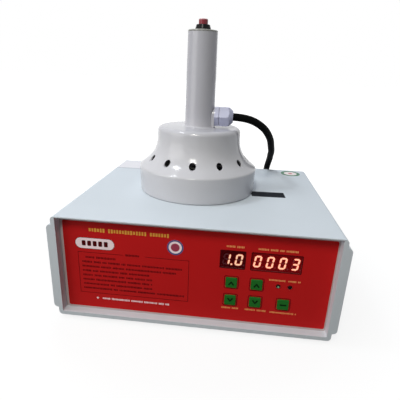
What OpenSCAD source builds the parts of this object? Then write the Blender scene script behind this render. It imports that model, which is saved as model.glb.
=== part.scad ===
// Induction cap sealer: a control case with a recessed red front panel, and a hand-held
// sealing head that stands on the case, joined to its rear panel by one flexible lead.
// Sizes are millimetres. The front faces -Y, Z is up and the feet stand on Z = 0.

/* [Case] */
// Width across the plain side walls
case_w = 295; // [280:1:320]
// Depth from the front rim to the rear rim
case_d = 254; // [240:1:280]
// Height of the closed case without its feet
case_h = 117; // [112:1:130]
// Moulded wall thickness
case_wall = 3; // [2.6:0.1:3.6]
// Wall thickness round the front and rear openings
rim_wall = 4.5; // [4:0.1:5.5]
// Radius of the long edges
case_round = 4; // [2.5:0.5:6]
// Distance that the side pads stand out
pad_out = 5; // [3:0.5:7]
// Distance of the side pads from the case top and bottom
pad_inset = 9; // [8:0.5:14]
// Depth of the front and rear recesses
recess = 10; // [8:0.5:13]
// Thickness of the upper lip at its front and rear edge
lip_edge = 1.2; // [1:0.1:2]
// Height of the seam between the two shells
seam_h = 56; // [50:1:62]
// Vent slots in a side pad
slot_n = 13; // [6:1:15]
// Width of a vent slot
slot_w = 3.2; // [2:0.2:4]
// Height of a vent slot
slot_h = 28; // [15:1:32]

/* [Feet] */
// Diameter of a foot
foot_d = 18; // [16:1:24]
// Height of the case above the table
foot_h = 5.5; // [5:0.5:9]
// Distance of a foot from the side wall
foot_side = 22; // [18:1:28]
// Distance of a foot from the front or rear rim
foot_end = 47; // [42:1:60]

/* [Front panel] */
// Thickness of the front and rear panel plates
panel_t = 2; // [1.5:0.1:2.5]
// Thickness of the printed film
film_t = 0.4; // [0.3:0.05:0.8]
// Bare margin of the plate round the film
film_margin = 2.4; // [1:0.1:4]
// Offset of the film to the right of the panel centre
film_side = 0.9; // [0:0.1:1.2]
// Centre of the two-digit display, from the right end of the opening
time_in = 103.3; // [101:0.1:106]
// Centre of the four-digit display, from the right end of the opening
count_in = 59; // [54:0.1:61]
// Height of the displays above the panel centre
display_up = 22.1; // [20:0.1:26]
// Width of the two-digit display
time_w = 24.4; // [23:0.1:25.5]
// Width of the four-digit display
count_w = 49.6; // [48:0.1:51]
// Height of both displays
display_h = 18.8; // [17:0.1:20]
// Side of a square key
key_size = 12; // [10:0.25:14]
// Height of a key above the film
key_rise = 1.4; // [1:0.1:2]
// Travel of a key
key_travel = 0.6; // [0.4:0.1:0.8]
// Column of the time keys, from the right end of the opening
key_in = 103; // [99:0.5:107]
// Distance from the time keys to the power keys
key_step_x = 26.3; // [20:0.1:28]
// Distance from the time keys to the reset key
key_reset_x = 55.6; // [50:0.1:60]
// Upper key row, from the panel centre
key_up = -4.5; // [-6:0.5:-1]
// Distance between the key rows
key_step_z = 21.2; // [18:0.1:24]
// Diameter of the lamps
led_d = 4.6; // [3:0.1:5]
// Working lamp, from the right end of the opening
led_in = 54.5; // [51:0.5:57]
// Distance between the lamps
led_step = 12; // [9:0.5:14]

/* [Rear panel] */
// Outer size of the square fan
fan_size = 80; // [70:1:84]
// Fan centre, from the left end of the opening
fan_in = 58; // [55:1:63]
// Mains inlet centre, from the right end of the opening
inlet_in = 81; // [75:1:85]
// Rocker switch centre, from the right end of the opening
rocker_in = 38; // [33:1:45]
// Fuse holder centre, from the right end of the opening
fuse_in = 116; // [111:1:122]
// Height of the inlet row above the panel centre
inlet_up = 14; // [8:1:20]
// Lead gland centre, from the panel centre
gland_x = -14; // [-18:1:-8]
// Height of the lead gland from the panel centre
gland_up = -20; // [-24:1:-14]

/* [Sealing head] */
// Head axis from the case centre, across the width
head_x = -12.5; // [-40:0.5:20]
// Head axis from the case centre, along the depth
head_y = 7; // [-10:0.5:20]
// Radius of the flange at its upper edge
flange_r = 74; // [70:0.5:80]
// Height of the flange's upper edge
flange_h = 31; // [27:0.5:35]
// Slope of the flare above the flange, in degrees
flare_slope = 38; // [32:1:42]
// Radius of the concave flare
flare_r = 36; // [30:1:38]
// Radius of the neck
neck_r = 52; // [49:0.5:54]
// Height of the head's flat top
head_h = 79.5; // [78:0.5:88]
// Radius of the edge round the flat top
neck_round = 6; // [4:0.5:8]
// Moulded wall thickness of the head
head_wall = 3; // [2.6:0.1:3.4]
// Vent holes round the flare
vent_n = 12; // [8:1:16]
// Diameter of a vent hole
vent_d = 8; // [6:0.1:9]
// Height of the vent holes above the case top
vent_up = 42; // [40:0.5:44]
// Wall left round the vent holes by the groove inside
vent_wall = 1.2; // [1:0.1:2]
// Turns of the induction coil
coil_n = 12; // [9:1:12]

/* [Handle] */
// Radius of the handle at its foot
handle_r = 18.3; // [17.8:0.1:20]
// Loss of handle radius from foot to top
handle_draft = 1.1; // [0.4:0.1:1.4]
// Height of the moulded handle above the head's flat top
handle_h = 107; // [95:1:120]
// Visible rim of the handle cap
cap_rim = 2; // [1.5:0.1:3]
// Diameter of the trigger button
trigger_d = 10.6; // [9:0.1:11]
// Height of the trigger button above its bezel
trigger_rise = 6; // [5:0.1:8]
// Travel of the trigger button
trigger_travel = 2.5; // [1.5:0.1:3]
// Height of the trigger bezel
bezel_h = 6; // [4:0.5:8]
// Height of the head's lead gland above the flat top
head_gland_up = 13.2; // [13:0.1:18]

/* [Lead] */
// Diameter of the lead
lead_d = 9.4; // [8:0.2:9.6]
// Radius of the coil at the middle of the lead
lead_coil_r = 50; // [45:1:54]

/* [Hidden] */
$fn = 96;
over = 1;
z_case = foot_h;
z_mid = z_case + case_h / 2;
z_top = z_case + case_h;
y_panel = case_d / 2 - recess;
open_w = case_w - 2 * rim_wall;
open_h = case_h - 2 * rim_wall;
open_round = 2;
groove_depth = 1.8;
groove_gap = 0.2;
panel_w = open_w + 2 * (groove_depth - groove_gap);
panel_h = open_h + 2 * (groove_depth - groove_gap);
rim_back = 5;
rim_len = recess + panel_t + rim_back;
lip_share = 0.7;
lip_run = recess * lip_share;
pad_round_share = 0.9;
pad_round = pad_out * pad_round_share;
pad_h = case_h - 2 * pad_inset;
inner_round = 1.2;
floor_z = z_case + case_wall;
seam_z = z_case + seam_h;
tongue_share = 0.45;
tongue_t = case_wall * tongue_share;
tongue_h = 2.4;
seam_gap = 0.2;
slot_pitch = 9;
slot_z = (seam_z + tongue_h + z_top - pad_inset - case_wall) / 2;

// Case screws run up through the feet and the lower bosses into the upper bosses
boss_r = 5;
screw_r = 1.9;
screw_hole_r = 2.2;
screw_pilot_r = 2;
screw_grip = 20;
head_r = 3.6;
head_t = 2.2;
foot_seat = 1;
foot_well_r = 4.4;
foot_well = 3;
foot_x = case_w / 2 - foot_side;
foot_y = case_d / 2 - foot_end;

// Front panel details, measured outward from the plate's front face
fit = 0.2;
window_lap = 0.5;
window_gap = 0.4;
display_t = 8;
board_t = 1.6;
board_w = 100;
board_h = 82;
board_in = 73;
board_hole_x = 45;
board_hole_z = 37;
board_front = -window_gap - display_t;
spacer_af = 5.5;
small_screw_r = 1.45;
small_hole_r = 1.55;
small_head_r = 2.75;
small_head_t = 1.8;
key_round = 1.5;
key_flange = 1;
key_lip = 1;
key_bevel = 0.5;
stem_r = 1.7;
stem_gap = 0.1;
tact_size = 6;
tact_t = 3.5;
tact_well = 2.2;
led_lip = 0.5;
led_rise = 1.2;
leg_r = 0.3;
leg_step = 1.27;
film_w = open_w - 2 * film_margin;
film_h = open_h - 2 * film_margin;
time_x = open_w / 2 - time_in;
count_x = open_w / 2 - count_in;
key_x = open_w / 2 - key_in;
led_x = open_w / 2 - led_in;
board_x = open_w / 2 - board_in;

// Fan, guard and sockets, measured outward from the rear plate's outer face
fan_x = fan_in - open_w / 2;
inlet_x = open_w / 2 - inlet_in;
rocker_x = open_w / 2 - rocker_in;
fuse_x = open_w / 2 - fuse_in;
fan_t = 25;
fan_hole_share = 0.447;
fan_hole = fan_size * fan_hole_share;
fan_hole_r = 2.2;
duct_share = 0.475;
duct_r = fan_size * duct_share;
fan_hub_r = 17;
fan_disc_t = 3;
fan_arm = 4;
shaft_r = 1.5;
run_gap = 0.05;
post_r = 4;
post_h = 12;
blade_n = 7;
blade_tip_gap = 1.5;
blade_t = 1.6;
blade_len = 17;
blade_pitch = 42;
guard_bar = 2;
guard_t = 2;
guard_rings = 4;
lug_r = 4.6;
inlet_w = 27;
inlet_h = 19.5;
inlet_flange = 2;
inlet_flange_t = 3;
inlet_len = 20;
inlet_wall = 1.4;
inlet_floor = 6;
blade_w = 2;
blade_h = 4;
blade_side = 7;
blade_low = -1;
blade_earth = 3.6;
blade_back = 4;
blade_under = 2;
switch_w = 13;
switch_h = 19;
switch_len = 18;
switch_bezel = 1;
switch_bezel_t = 2;
rocker_w = 10;
rocker_r = 7.7;
rocker_end = 7;
rocker_high = 6;
rocker_dip = 4.4;
rocker_tilt = 9;
rocker_gap = 0.3;
pivot_in = 1;
pivot_r = 1.2;
pivot_len = 1.1;
fuse_r = 6;
fuse_flange_r = 8.5;
fuse_flange_t = 2.5;
fuse_len = 28;
fuse_bore_r = 4.2;
fuse_cap_r = 7;
fuse_cap_t = 7;
fuse_stem = 8;
fuse_slot = 1.6;

// Cable gland, measured outward from the face that it is screwed to
gland_af = 22;
gland_flange = 5;
gland_thread_r = 9.2;
gland_thread = 9;
gland_neck_r = 8;
gland_neck = 12;
gland_bore_r = 6.4;
gland_nut_gap = 0.6;
gland_nut_len = 17;
gland_nut_end_r = 7;
gland_nut_shoulder = 10.5;
gland_dome = 5;
gland_end_round = 1.5;
gland_seal_len = 7;
gland_fit = 0.1;
locknut_af = 24;
locknut_t = 4;
gland_end = gland_flange + gland_nut_gap + gland_nut_len;

// Power board and what it carries
power_w = 190;
power_x = -8;
power_y = 4;
post_high = 8;
post_pad_r = 4;
power_hole_edge = 7;
power_z = floor_z + post_high + board_t;
sink_w = 64;
sink_d = 88;
sink_base = 6;
sink_h = 40;
sink_fins = 9;
sink_fin_t = 2.4;
sink_x = -62;
sink_screw_gap = 7;
power_hole_x = power_w / 2 - power_hole_edge;
power_hole_y = sink_d / 2 + sink_screw_gap;
power_d = 2 * (power_hole_y + power_hole_edge);
can_r = 15;
can_h = 45;
can_groove = 1;
can_groove_z = 5;
can_edge = 1;
can_x = 66;
can_y = -34;
box_n = 3;
box_w = 32;
box_d = 13;
box_h = 26;
box_x = 8;
box_y = -34;
box_pitch = 17;
core_w = 54;
core_d = 28;
core_h = 50;
core_leg = 9;
core_mid = 14;
core_x = 32;
core_y = 32;
wind_gap = 0.5;
wind_out = 9;

// Head, measured up from the case top
flange_draft = 1;
flange_round = 3;
base_round = 2.5;
base_up = 0.5;
base_t = 3;
base_fit = 0.3;
base_r = flange_r - flange_draft - head_wall - base_fit;
base_z = base_up + base_t;
stud_r = 4;
stud_n = 4;
stud_in = 3;
stud_ring_r = base_r - stud_r - stud_in;
stud_h = 38;
stud_hole = 12;
csk_r = 3;
csk_t = 1.6;
coil_wire_r = 1.75;
coil_pitch = 3.3;
coil_in_r = 14;
coil_out_r = coil_in_r + (coil_n - 1) * coil_pitch + coil_wire_r;
former_clear = 1;
former_r = stud_ring_r - stud_r - former_clear;
former_t = 7;
former_bore_r = 9;
former_gap = 0.2;
bar_n = 6;
bar_w = 10;
bar_t = 5;
bar_in_r = 14;
bar_clear = 2;
bar_len = former_r - bar_in_r - bar_clear;
handle_foot_round = 2.5;
handle_top_r = handle_r - handle_draft;
handle_z = head_h + handle_h;
slope_z = flange_h + (flange_r - neck_r) * tan(flare_slope);
slope_drop = head_wall / cos(flare_slope);
flare_mid = [neck_r + flare_r, slope_z + flare_r * tan(45 - flare_slope / 2)];
vent_r = flare_mid[0] - sqrt(pow(flare_r, 2) - pow(flare_mid[1] - vent_up, 2));
vent_groove_r = 9;
vent_groove = [vent_r, vent_up] - (flare_mid - [vent_r, vent_up]) / flare_r * (vent_wall + vent_groove_r);
arc_n = 10;
gland_seat_out = 0.3;
gland_seat = handle_r + gland_seat_out;
gland_pad = 10.5;
head_gland_z = z_top + head_h + head_gland_up;
cap_step = 0.6;
cap_edge = 0.6;
cap_plug = 6;
cap_plug_t = 2;
cap_fit = 0.15;
bush_r = 6;
bush_len = 10;
bush_fit = 0.1;
button_r = 5.8;
button_len = 12;
button_nut_af = 14;
button_nut_t = 2.5;
bezel_r = 9.5;
bezel_top_r = 7.8;
bezel_edge = 0.6;
trigger_gap = 0.1;
trigger_well = 6;
trigger_r = trigger_d / 2;
trigger_round = 1;

// Lead route, from the head's gland over the rear edge to the coil, and from the coil to the rear gland
lead_sides = 10;
lead_in = 8;
lead_coil_x = 36;
lead_coil_y = 215;
lead_turns = 3;
lead_gap = 0.4;
lead_pitch = lead_d + lead_gap;
lead_swell = 0.3;
lead_start = [head_x + gland_seat - lead_in, head_y, head_gland_z];
lead_exit = [head_x + gland_seat + gland_end, head_y, head_gland_z];
lead_air = [[39, 8, 215], [53, 13, 212], [64, 20, 205], [71, 27, 199], [77, 37, 190], [81, 48, 182],
    [83, 60, 174], [85, 71, 167], [87, 83, 160], [87, 95, 153], [88, 107, 146], [88, 119, 138],
    [87, 129, 128], [87, 138, 118], [87, 147, 107]];
lead_land = [[86, 154, 95], [86, 160, 83], [86, 166, 71], [86, 173, 59], [86, 181, 48], [86, 191, 39],
    [86, 203, 32], [86, 215, 29]];
lead_rise = [[-14, 215, 5], [-14, 202, 7], [-14, 191, 12], [-14, 181, 20], [-14, 173, 30], [-14, 163, 38],
    [-14, 151, 43]];
lead_back = [gland_x, y_panel + gland_end, z_mid + gland_up];
lead_end = [gland_x, y_panel - lead_in + panel_t, z_mid + gland_up];

// Outline helpers

// Points that round the corner p between its neighbours a and b
function corner(p, a, b) = let (
    o = [p[0], p[1]],
    u = unit([a[0], a[1]] - o),
    w = unit([b[0], b[1]] - o),
    half = acos(u * w) / 2,
    c = o + unit(u + w) * (p[2] / sin(half)),
    s = o + u * (p[2] / tan(half)) - c,
    e = o + w * (p[2] / tan(half)) - c,
    from = atan2(s[1], s[0]),
    turn = (atan2(e[1], e[0]) - from + 540) % 360 - 180
) [for (i = [0 : arc_n]) c + p[2] * [cos(from + turn * i / arc_n), sin(from + turn * i / arc_n)]];

function unit(v) = v / norm(v);

// Closed outline from [x, y, radius] corners
function rounded(pts) = let (n = len(pts)) [for (i = [0 : n - 1])
    each pts[i][2] > 0 ? corner(pts[i], pts[(i + n - 1) % n], pts[(i + 1) % n]) : [[pts[i][0], pts[i][1]]]];

module rounded_rect(w, h, r) {
    square([w - 2 * r, h], center = true);
    square([w, h - 2 * r], center = true);
    for (sx = [-1, 1], sy = [-1, 1])
        translate([sx * (w / 2 - r), sy * (h / 2 - r)]) circle(r = r);
}

module slot(w, h) {
    square([w, h - w], center = true);
    for (s = [-1, 1])
        translate([0, s * (h - w) / 2]) circle(d = w);
}

module ring(outer, inner, h) {
    linear_extrude(h) difference() {
        circle(r = outer);
        circle(r = inner);
    }
}

module hex(af, h) {
    cylinder(d = af / cos(30), h = h, $fn = 6);
}

module corners(x, y) {
    for (sx = [-1, 1], sy = [-1, 1])
        translate([sx * x, sy * y, 0]) children();
}

// Places for the parts of the front panel, the rear panel and the head

module on_front() {
    translate([0, -y_panel, z_mid]) rotate([90, 0, 0]) children();
}

module on_rear(x = 0, up = 0) {
    translate([x, y_panel, z_mid + up]) rotate([90, 0, 180]) children();
}

module on_head() {
    translate([head_x, head_y, z_top]) children();
}

module on_handle_side() {
    translate([head_x + gland_seat, head_y, head_gland_z]) rotate([0, 90, 0]) rotate(30) children();
}

function key_places() = [[key_x, key_up], [key_x, key_up - key_step_z], [key_x + key_step_x, key_up],
    [key_x + key_step_x, key_up - key_step_z], [key_x + key_reset_x, key_up - key_step_z]];

// Case shells

module along_depth(d) {
    rotate([90, 0, 0]) linear_extrude(d, center = true) children();
}

module case_outline() {
    rounded_rect(case_w, case_h, case_round);
    rounded_rect(case_w + 2 * pad_out, pad_h, pad_round);
}

module cavity_outline() {
    rounded_rect(case_w - 2 * case_wall, case_h - 2 * case_wall, inner_round);
    rounded_rect(case_w + 2 * pad_out - 2 * case_wall, pad_h - 2 * case_wall, inner_round);
}

module case_shell() {
    translate([0, 0, z_mid]) difference() {
        along_depth(case_d) case_outline();
        along_depth(case_d - 2 * rim_len) cavity_outline();
        along_depth(case_d + 2 * over) rounded_rect(open_w, open_h, open_round);
        for (s = [-1, 1])
            translate([0, s * (y_panel - panel_t / 2), 0]) along_depth(panel_t + 2 * groove_gap)
                square([open_w + 2 * groove_depth, open_h + 2 * groove_depth], center = true);
        for (a = [0, 180])
            rotate(a) lip_taper();
    }
}

// Wedge cut from under the upper lip, so that its edge is thin
module lip_taper() {
    y = case_d / 2;
    z = open_h / 2;
    rotate([90, 0, 90]) linear_extrude(open_w, center = true)
        polygon([[y - lip_run, z - over], [y - lip_run, z], [y, case_h / 2 - lip_edge],
            [y + over, case_h / 2 - lip_edge], [y + over, z - over]]);
}

module half_space(z, h) {
    translate([-case_w, -case_d, z]) cube([2 * case_w, 2 * case_d, h]);
}

module tongue(gap) {
    x = case_w / 2 + pad_out - case_wall;
    d = case_d - 2 * rim_len - 2 * seam_gap + 2 * gap;
    for (s = [-1, 1])
        translate([s * (x + tongue_t / 2), 0, seam_z + tongue_h / 2])
            cube([tongue_t + 2 * gap, d, tongue_h + 2 * gap], center = true);
}

module lower_case() {
    color("#aeb0b6") difference() {
        union() {
            intersection() {
                case_shell();
                half_space(z_case - over, seam_h + over);
            }
            tongue(0);
            corners(foot_x, foot_y) translate([0, 0, z_case]) cylinder(r = boss_r, h = seam_h);
            translate([power_x, power_y, z_case]) corners(power_hole_x, power_hole_y)
                cylinder(r = post_pad_r, h = case_wall + post_high);
        }
        corners(foot_x, foot_y) translate([0, 0, z_case - over]) cylinder(r = screw_hole_r, h = case_h);
        corners(foot_x, foot_y) translate([0, 0, z_case - over])
            cylinder(d = foot_d + 2 * fit, h = foot_seat + over);
        translate([power_x, power_y, floor_z + small_hole_r]) corners(power_hole_x, power_hole_y)
            cylinder(r = small_hole_r, h = post_high);
    }
}

module upper_case() {
    color("#d2dce4") difference() {
        union() {
            intersection() {
                case_shell();
                half_space(seam_z, case_h);
            }
            corners(foot_x, foot_y) translate([0, 0, seam_z])
                cylinder(r = boss_r, h = case_h - seam_h - case_wall / 2);
        }
        tongue(seam_gap);
        corners(foot_x, foot_y) translate([0, 0, seam_z - over])
            cylinder(r = screw_pilot_r, h = screw_grip + 2 * over);
        for (s = [-1, 1], i = [0 : slot_n - 1])
            translate([s * (case_w / 2 + pad_out), (i - (slot_n - 1) / 2) * slot_pitch, slot_z])
                rotate([90, 0, 90]) linear_extrude(3 * case_wall, center = true) slot(slot_w, slot_h);
    }
}

module feet() {
    color("#18191b") corners(foot_x, foot_y) difference() {
        cylinder(d = foot_d, h = z_case + foot_seat);
        translate([0, 0, -over]) cylinder(r = foot_well_r, h = foot_well + over);
        cylinder(r = screw_hole_r, h = z_case + 2 * foot_seat);
    }
}

module case_screws() {
    color("#8d9096") corners(foot_x, foot_y) translate([0, 0, foot_well]) {
        translate([0, 0, -head_t]) cylinder(r = head_r, h = head_t);
        cylinder(r = screw_r, h = seam_z + screw_grip - foot_well);
    }
}

// Front panel

module front_panel() {
    color("#c9c6cc") on_front() translate([0, 0, -panel_t]) linear_extrude(panel_t) difference() {
        square([panel_w, panel_h], center = true);
        translate([time_x, display_up]) square([time_w + 2 * fit, display_h + 2 * fit], center = true);
        translate([count_x, display_up]) square([count_w + 2 * fit, display_h + 2 * fit], center = true);
        panel_holes();
    }
}

module panel_holes() {
    for (p = key_places())
        translate(p) rounded_rect(key_size + 2 * fit, key_size + 2 * fit, key_round);
    for (i = [0, 1])
        translate([led_x + i * led_step, key_up]) circle(d = led_d + 2 * fit);
}

module panel_film() {
    color("#931618") on_front() linear_extrude(film_t) difference() {
        translate([film_side, 0]) rounded_rect(film_w, film_h, open_round);
        window_outline(time_x, time_w);
        window_outline(count_x, count_w);
        panel_holes();
    }
}

module window_outline(x, w) {
    lap = 2 * (fit + window_lap);
    translate([x, display_up]) square([w + lap, display_h + lap], center = true);
}

module time_window() {
    color("#3a0a10") on_front() linear_extrude(film_t) window_outline(time_x, time_w);
}

module count_window() {
    color("#3a0a10") on_front() linear_extrude(film_t) window_outline(count_x, count_w);
}

module display(x, w) {
    on_front() translate([x, display_up, board_front + display_t / 2])
        cube([w, display_h, display_t], center = true);
}

module time_display() {
    color("#26100f") display(time_x, time_w);
}

module count_display() {
    color("#26100f") display(count_x, count_w);
}

module control_board() {
    color("#1f5a35") on_front() translate([board_x, 0, board_front - board_t])
        linear_extrude(board_t) difference() {
            square([board_w, board_h], center = true);
            corners(board_hole_x, board_hole_z) circle(r = small_hole_r);
        }
}

module board_spacers() {
    color("#b08d4a") on_front() translate([board_x, 0, board_front])
        corners(board_hole_x, board_hole_z) difference() {
            hex(spacer_af, -board_front - panel_t);
            translate([0, 0, -over]) cylinder(r = small_hole_r, h = display_t);
        }
}

module board_screws() {
    color("#8d9096") on_front() translate([board_x, 0, board_front - board_t])
        corners(board_hole_x, board_hole_z) {
            translate([0, 0, -small_head_t]) cylinder(r = small_head_r, h = small_head_t);
            cylinder(r = small_screw_r, h = display_t - board_t - panel_t);
        }
}

module tact_switches() {
    color("#202226") on_front() for (p = key_places())
        translate([p[0], p[1], board_front]) difference() {
            translate([0, 0, tact_t / 2]) cube([tact_size, tact_size, tact_t], center = true);
            translate([0, 0, tact_t - tact_well]) cylinder(r = stem_r + stem_gap, h = tact_t);
        }
}

// A key with bevelled edges, its retaining flange and the stem that works its switch
module key(i) {
    high = film_t + key_rise;
    deep = panel_t + key_flange;
    stem = -board_front - tact_t + tact_well - key_travel - stem_gap;
    color("#1f6b25") on_front() translate([key_places()[i][0], key_places()[i][1], 0]) {
        intersection() {
            translate([0, 0, -panel_t]) linear_extrude(panel_t + high)
                rounded_rect(key_size, key_size, key_round);
            key_bevels(high);
            rotate(90) key_bevels(high);
        }
        translate([0, 0, -deep]) linear_extrude(key_flange)
            rounded_rect(key_size + 2 * key_lip, key_size + 2 * key_lip, key_round);
        translate([0, 0, -stem]) cylinder(r = stem_r, h = stem - panel_t);
    }
}

module key_bevels(high) {
    s = key_size / 2;
    rotate([90, 0, 0]) linear_extrude(2 * key_size, center = true)
        polygon([[-s, -panel_t], [s, -panel_t], [s, high - key_bevel], [s - key_bevel, high],
            [key_bevel - s, high], [-s, high - key_bevel]]);
}

module key_time_up() {
    key(0);
}

module key_time_down() {
    key(1);
}

module key_power_up() {
    key(2);
}

module key_power_down() {
    key(3);
}

module key_reset() {
    key(4);
}

// A lamp: domed lens through the panel, rim behind it and two legs to the board
module led(i, tone) {
    r = led_d / 2;
    dome = film_t + led_rise - r;
    color(tone) on_front() translate([led_x + i * led_step, key_up, 0]) {
        translate([0, 0, dome]) sphere(r = r);
        translate([0, 0, -panel_t - led_lip]) cylinder(r = r, h = panel_t + led_lip + dome);
        translate([0, 0, -panel_t - 2 * led_lip]) cylinder(r = r + led_lip, h = 2 * led_lip);
        for (s = [-1, 1])
            translate([s * leg_step, 0, board_front]) cylinder(r = leg_r, h = -board_front - panel_t);
    }
}

module led_working() {
    led(0, "#8fe08a");
}

module led_alarm() {
    led(1, "#3c1512");
}

// Rear panel

module rear_panel() {
    color("#b4b6bb") on_rear() translate([0, 0, -panel_t]) linear_extrude(panel_t) difference() {
        square([panel_w, panel_h], center = true);
        translate([-fan_x, 0]) circle(r = duct_r);
        translate([-fan_x, 0]) corners(fan_hole, fan_hole) circle(r = fan_hole_r);
        translate([-inlet_x, inlet_up]) rounded_rect(inlet_w + 2 * fit, inlet_h + 2 * fit, open_round);
        translate([-rocker_x, inlet_up]) square([switch_w + 2 * fit, switch_h + 2 * fit], center = true);
        translate([-fuse_x, inlet_up]) circle(r = fuse_r + fit);
        translate([-gland_x, gland_up]) circle(r = gland_thread_r + gland_fit);
    }
}

module fan_frame() {
    back = -panel_t - fan_t;
    color("#1c1d20") on_rear(fan_x) difference() {
        union() {
            translate([0, 0, back]) linear_extrude(fan_t) difference() {
                rounded_rect(fan_size, fan_size, case_round);
                circle(r = duct_r);
            }
            translate([0, 0, back]) cylinder(r = fan_hub_r, h = fan_disc_t);
            translate([0, 0, back]) cylinder(r = post_r, h = fan_disc_t + post_h);
            for (a = [0 : 90 : 270])
                rotate(a + 45) translate([fan_hub_r - over, -fan_arm / 2, back])
                    cube([duct_r - fan_hub_r + 2 * over, fan_arm, fan_disc_t]);
        }
        corners(fan_hole, fan_hole) translate([0, 0, back - over])
            cylinder(r = fan_hole_r, h = fan_t + 2 * over);
        translate([0, 0, back + over]) cylinder(r = shaft_r + run_gap, h = fan_t);
    }
}

// Hub cup, shaft and pitched blades, trimmed to a round tip circle
module fan_rotor() {
    low = -panel_t - fan_t + fan_disc_t + over;
    high = -panel_t - 2 * over;
    color("#2a2b2f") on_rear(fan_x) {
        translate([0, 0, low]) difference() {
            cylinder(r = fan_hub_r, h = high - low);
            translate([0, 0, -over]) cylinder(r = fan_hub_r - 2 * over, h = high - low - over);
        }
        translate([0, 0, low - over]) cylinder(r = shaft_r, h = high - low);
        intersection() {
            translate([0, 0, low]) ring(duct_r - blade_tip_gap, fan_hub_r - over, high - low);
            for (i = [0 : blade_n - 1])
                rotate(i * 360 / blade_n) translate([fan_hub_r - 2 * over, 0, (low + high) / 2])
                    rotate([blade_pitch, 0, 0]) translate([0, -blade_t / 2, -blade_len / 2])
                        cube([duct_r, blade_t, blade_len]);
        }
    }
}

// Moulded finger guard: concentric rings, diagonal bars and four screw lugs
module fan_guard() {
    color("#26272a") on_rear(fan_x) linear_extrude(guard_t) difference() {
        union() {
            for (i = [1 : guard_rings]) difference() {
                circle(r = duct_r * i / guard_rings + guard_bar / 2);
                circle(r = duct_r * i / guard_rings - guard_bar / 2);
            }
            for (a = [0 : 90 : 270])
                rotate(a + 45) translate([duct_r / guard_rings, -guard_bar / 2])
                    square([fan_hole * sqrt(2) - duct_r / guard_rings, guard_bar]);
            corners(fan_hole, fan_hole) circle(r = lug_r);
        }
        corners(fan_hole, fan_hole) circle(r = fan_hole_r);
    }
}

module fan_screws() {
    color("#8d9096") on_rear(fan_x) corners(fan_hole, fan_hole) {
        translate([0, 0, guard_t]) cylinder(r = head_r, h = head_t);
        translate([0, 0, -fan_t / 2]) cylinder(r = screw_r, h = fan_t / 2 + guard_t);
    }
}

// Mains inlet: flanged cup with two cut corners, and three blades that pass through its floor
module mains_inlet() {
    w = inlet_w / 2 - inlet_wall;
    h = inlet_h / 2 - inlet_wall;
    color("#17181a") on_rear(inlet_x, inlet_up) difference() {
        union() {
            linear_extrude(inlet_flange_t)
                rounded_rect(inlet_w + 2 * inlet_flange, inlet_h + 2 * inlet_flange, open_round);
            translate([0, 0, -inlet_len]) linear_extrude(inlet_len + over)
                rounded_rect(inlet_w, inlet_h, open_round);
        }
        translate([0, 0, inlet_floor - inlet_len]) linear_extrude(inlet_len)
            polygon([[-w, -h], [w, -h], [w, h - blade_h], [w - blade_h, h], [blade_h - w, h],
                [-w, h - blade_h]]);
        inlet_blade_set();
    }
}

module inlet_blade_set() {
    long = inlet_len + blade_back + inlet_flange_t - blade_under;
    for (p = [[-blade_side, blade_low], [0, blade_earth], [blade_side, blade_low]])
        translate([p[0], p[1], -inlet_len - blade_back]) linear_extrude(long)
            square([blade_w, blade_h], center = true);
}

module inlet_blades() {
    color("#c8b273") on_rear(inlet_x, inlet_up) inlet_blade_set();
}

module switch_body() {
    color("#17181a") on_rear(rocker_x, inlet_up) difference() {
        union() {
            linear_extrude(switch_bezel_t)
                rounded_rect(switch_w + 2 * switch_bezel, switch_h + 2 * switch_bezel, switch_bezel);
            translate([0, 0, -switch_len]) linear_extrude(switch_len + over)
                square([switch_w, switch_h], center = true);
        }
        translate([0, 0, -pivot_in - rocker_r - rocker_gap]) linear_extrude(switch_len)
            square([rocker_w + 2 * rocker_gap, 2 * (rocker_r + rocker_gap)], center = true);
        translate([0, 0, -pivot_in]) rotate([0, 90, 0])
            cylinder(r = pivot_r + run_gap, h = rocker_w + 2 * (pivot_len + stem_gap), center = true);
    }
}

module power_rocker() {
    color("#2b2c30") on_rear(rocker_x, inlet_up) translate([0, 0, -pivot_in]) rotate([rocker_tilt, 0, 0]) {
        rotate([90, 0, 90]) linear_extrude(rocker_w, center = true) {
            intersection() {
                circle(r = rocker_r);
                translate([-rocker_r, -rocker_r]) square([2 * rocker_r, rocker_r + rocker_gap]);
            }
            polygon([[-rocker_end, 0], [rocker_end, 0], [rocker_end, rocker_high], [0, rocker_dip],
                [-rocker_end, rocker_high]]);
        }
        rotate([0, 90, 0]) cylinder(r = pivot_r, h = rocker_w + 2 * pivot_len, center = true);
    }
}

module fuse_holder() {
    color("#1c1d20") on_rear(fuse_x, inlet_up) difference() {
        union() {
            cylinder(r = fuse_flange_r, h = fuse_flange_t);
            translate([0, 0, -fuse_len]) cylinder(r = fuse_r, h = fuse_len + over);
        }
        translate([0, 0, -fuse_len + 2 * over]) cylinder(r = fuse_bore_r, h = fuse_len + fuse_flange_t);
    }
}

module fuse_cap() {
    color("#232428") on_rear(fuse_x, inlet_up) translate([0, 0, fuse_flange_t]) difference() {
        union() {
            translate([0, 0, 2 * run_gap]) cylinder(r = fuse_cap_r, h = fuse_cap_t);
            translate([0, 0, -fuse_stem]) cylinder(r = fuse_bore_r - 2 * run_gap, h = fuse_stem + over);
        }
        translate([0, 0, fuse_cap_t]) cube([2 * fuse_cap_r + over, fuse_slot, fuse_slot], center = true);
    }
}

// Cable glands

module gland_body_form(thread) {
    difference() {
        union() {
            hex(gland_af, gland_flange);
            translate([0, 0, -thread]) cylinder(r = gland_thread_r, h = thread + over);
            cylinder(r = gland_neck_r, h = gland_flange + gland_neck);
        }
        translate([0, 0, -thread - over])
            cylinder(r = gland_bore_r, h = thread + gland_flange + gland_neck + 2 * over);
    }
}

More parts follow.
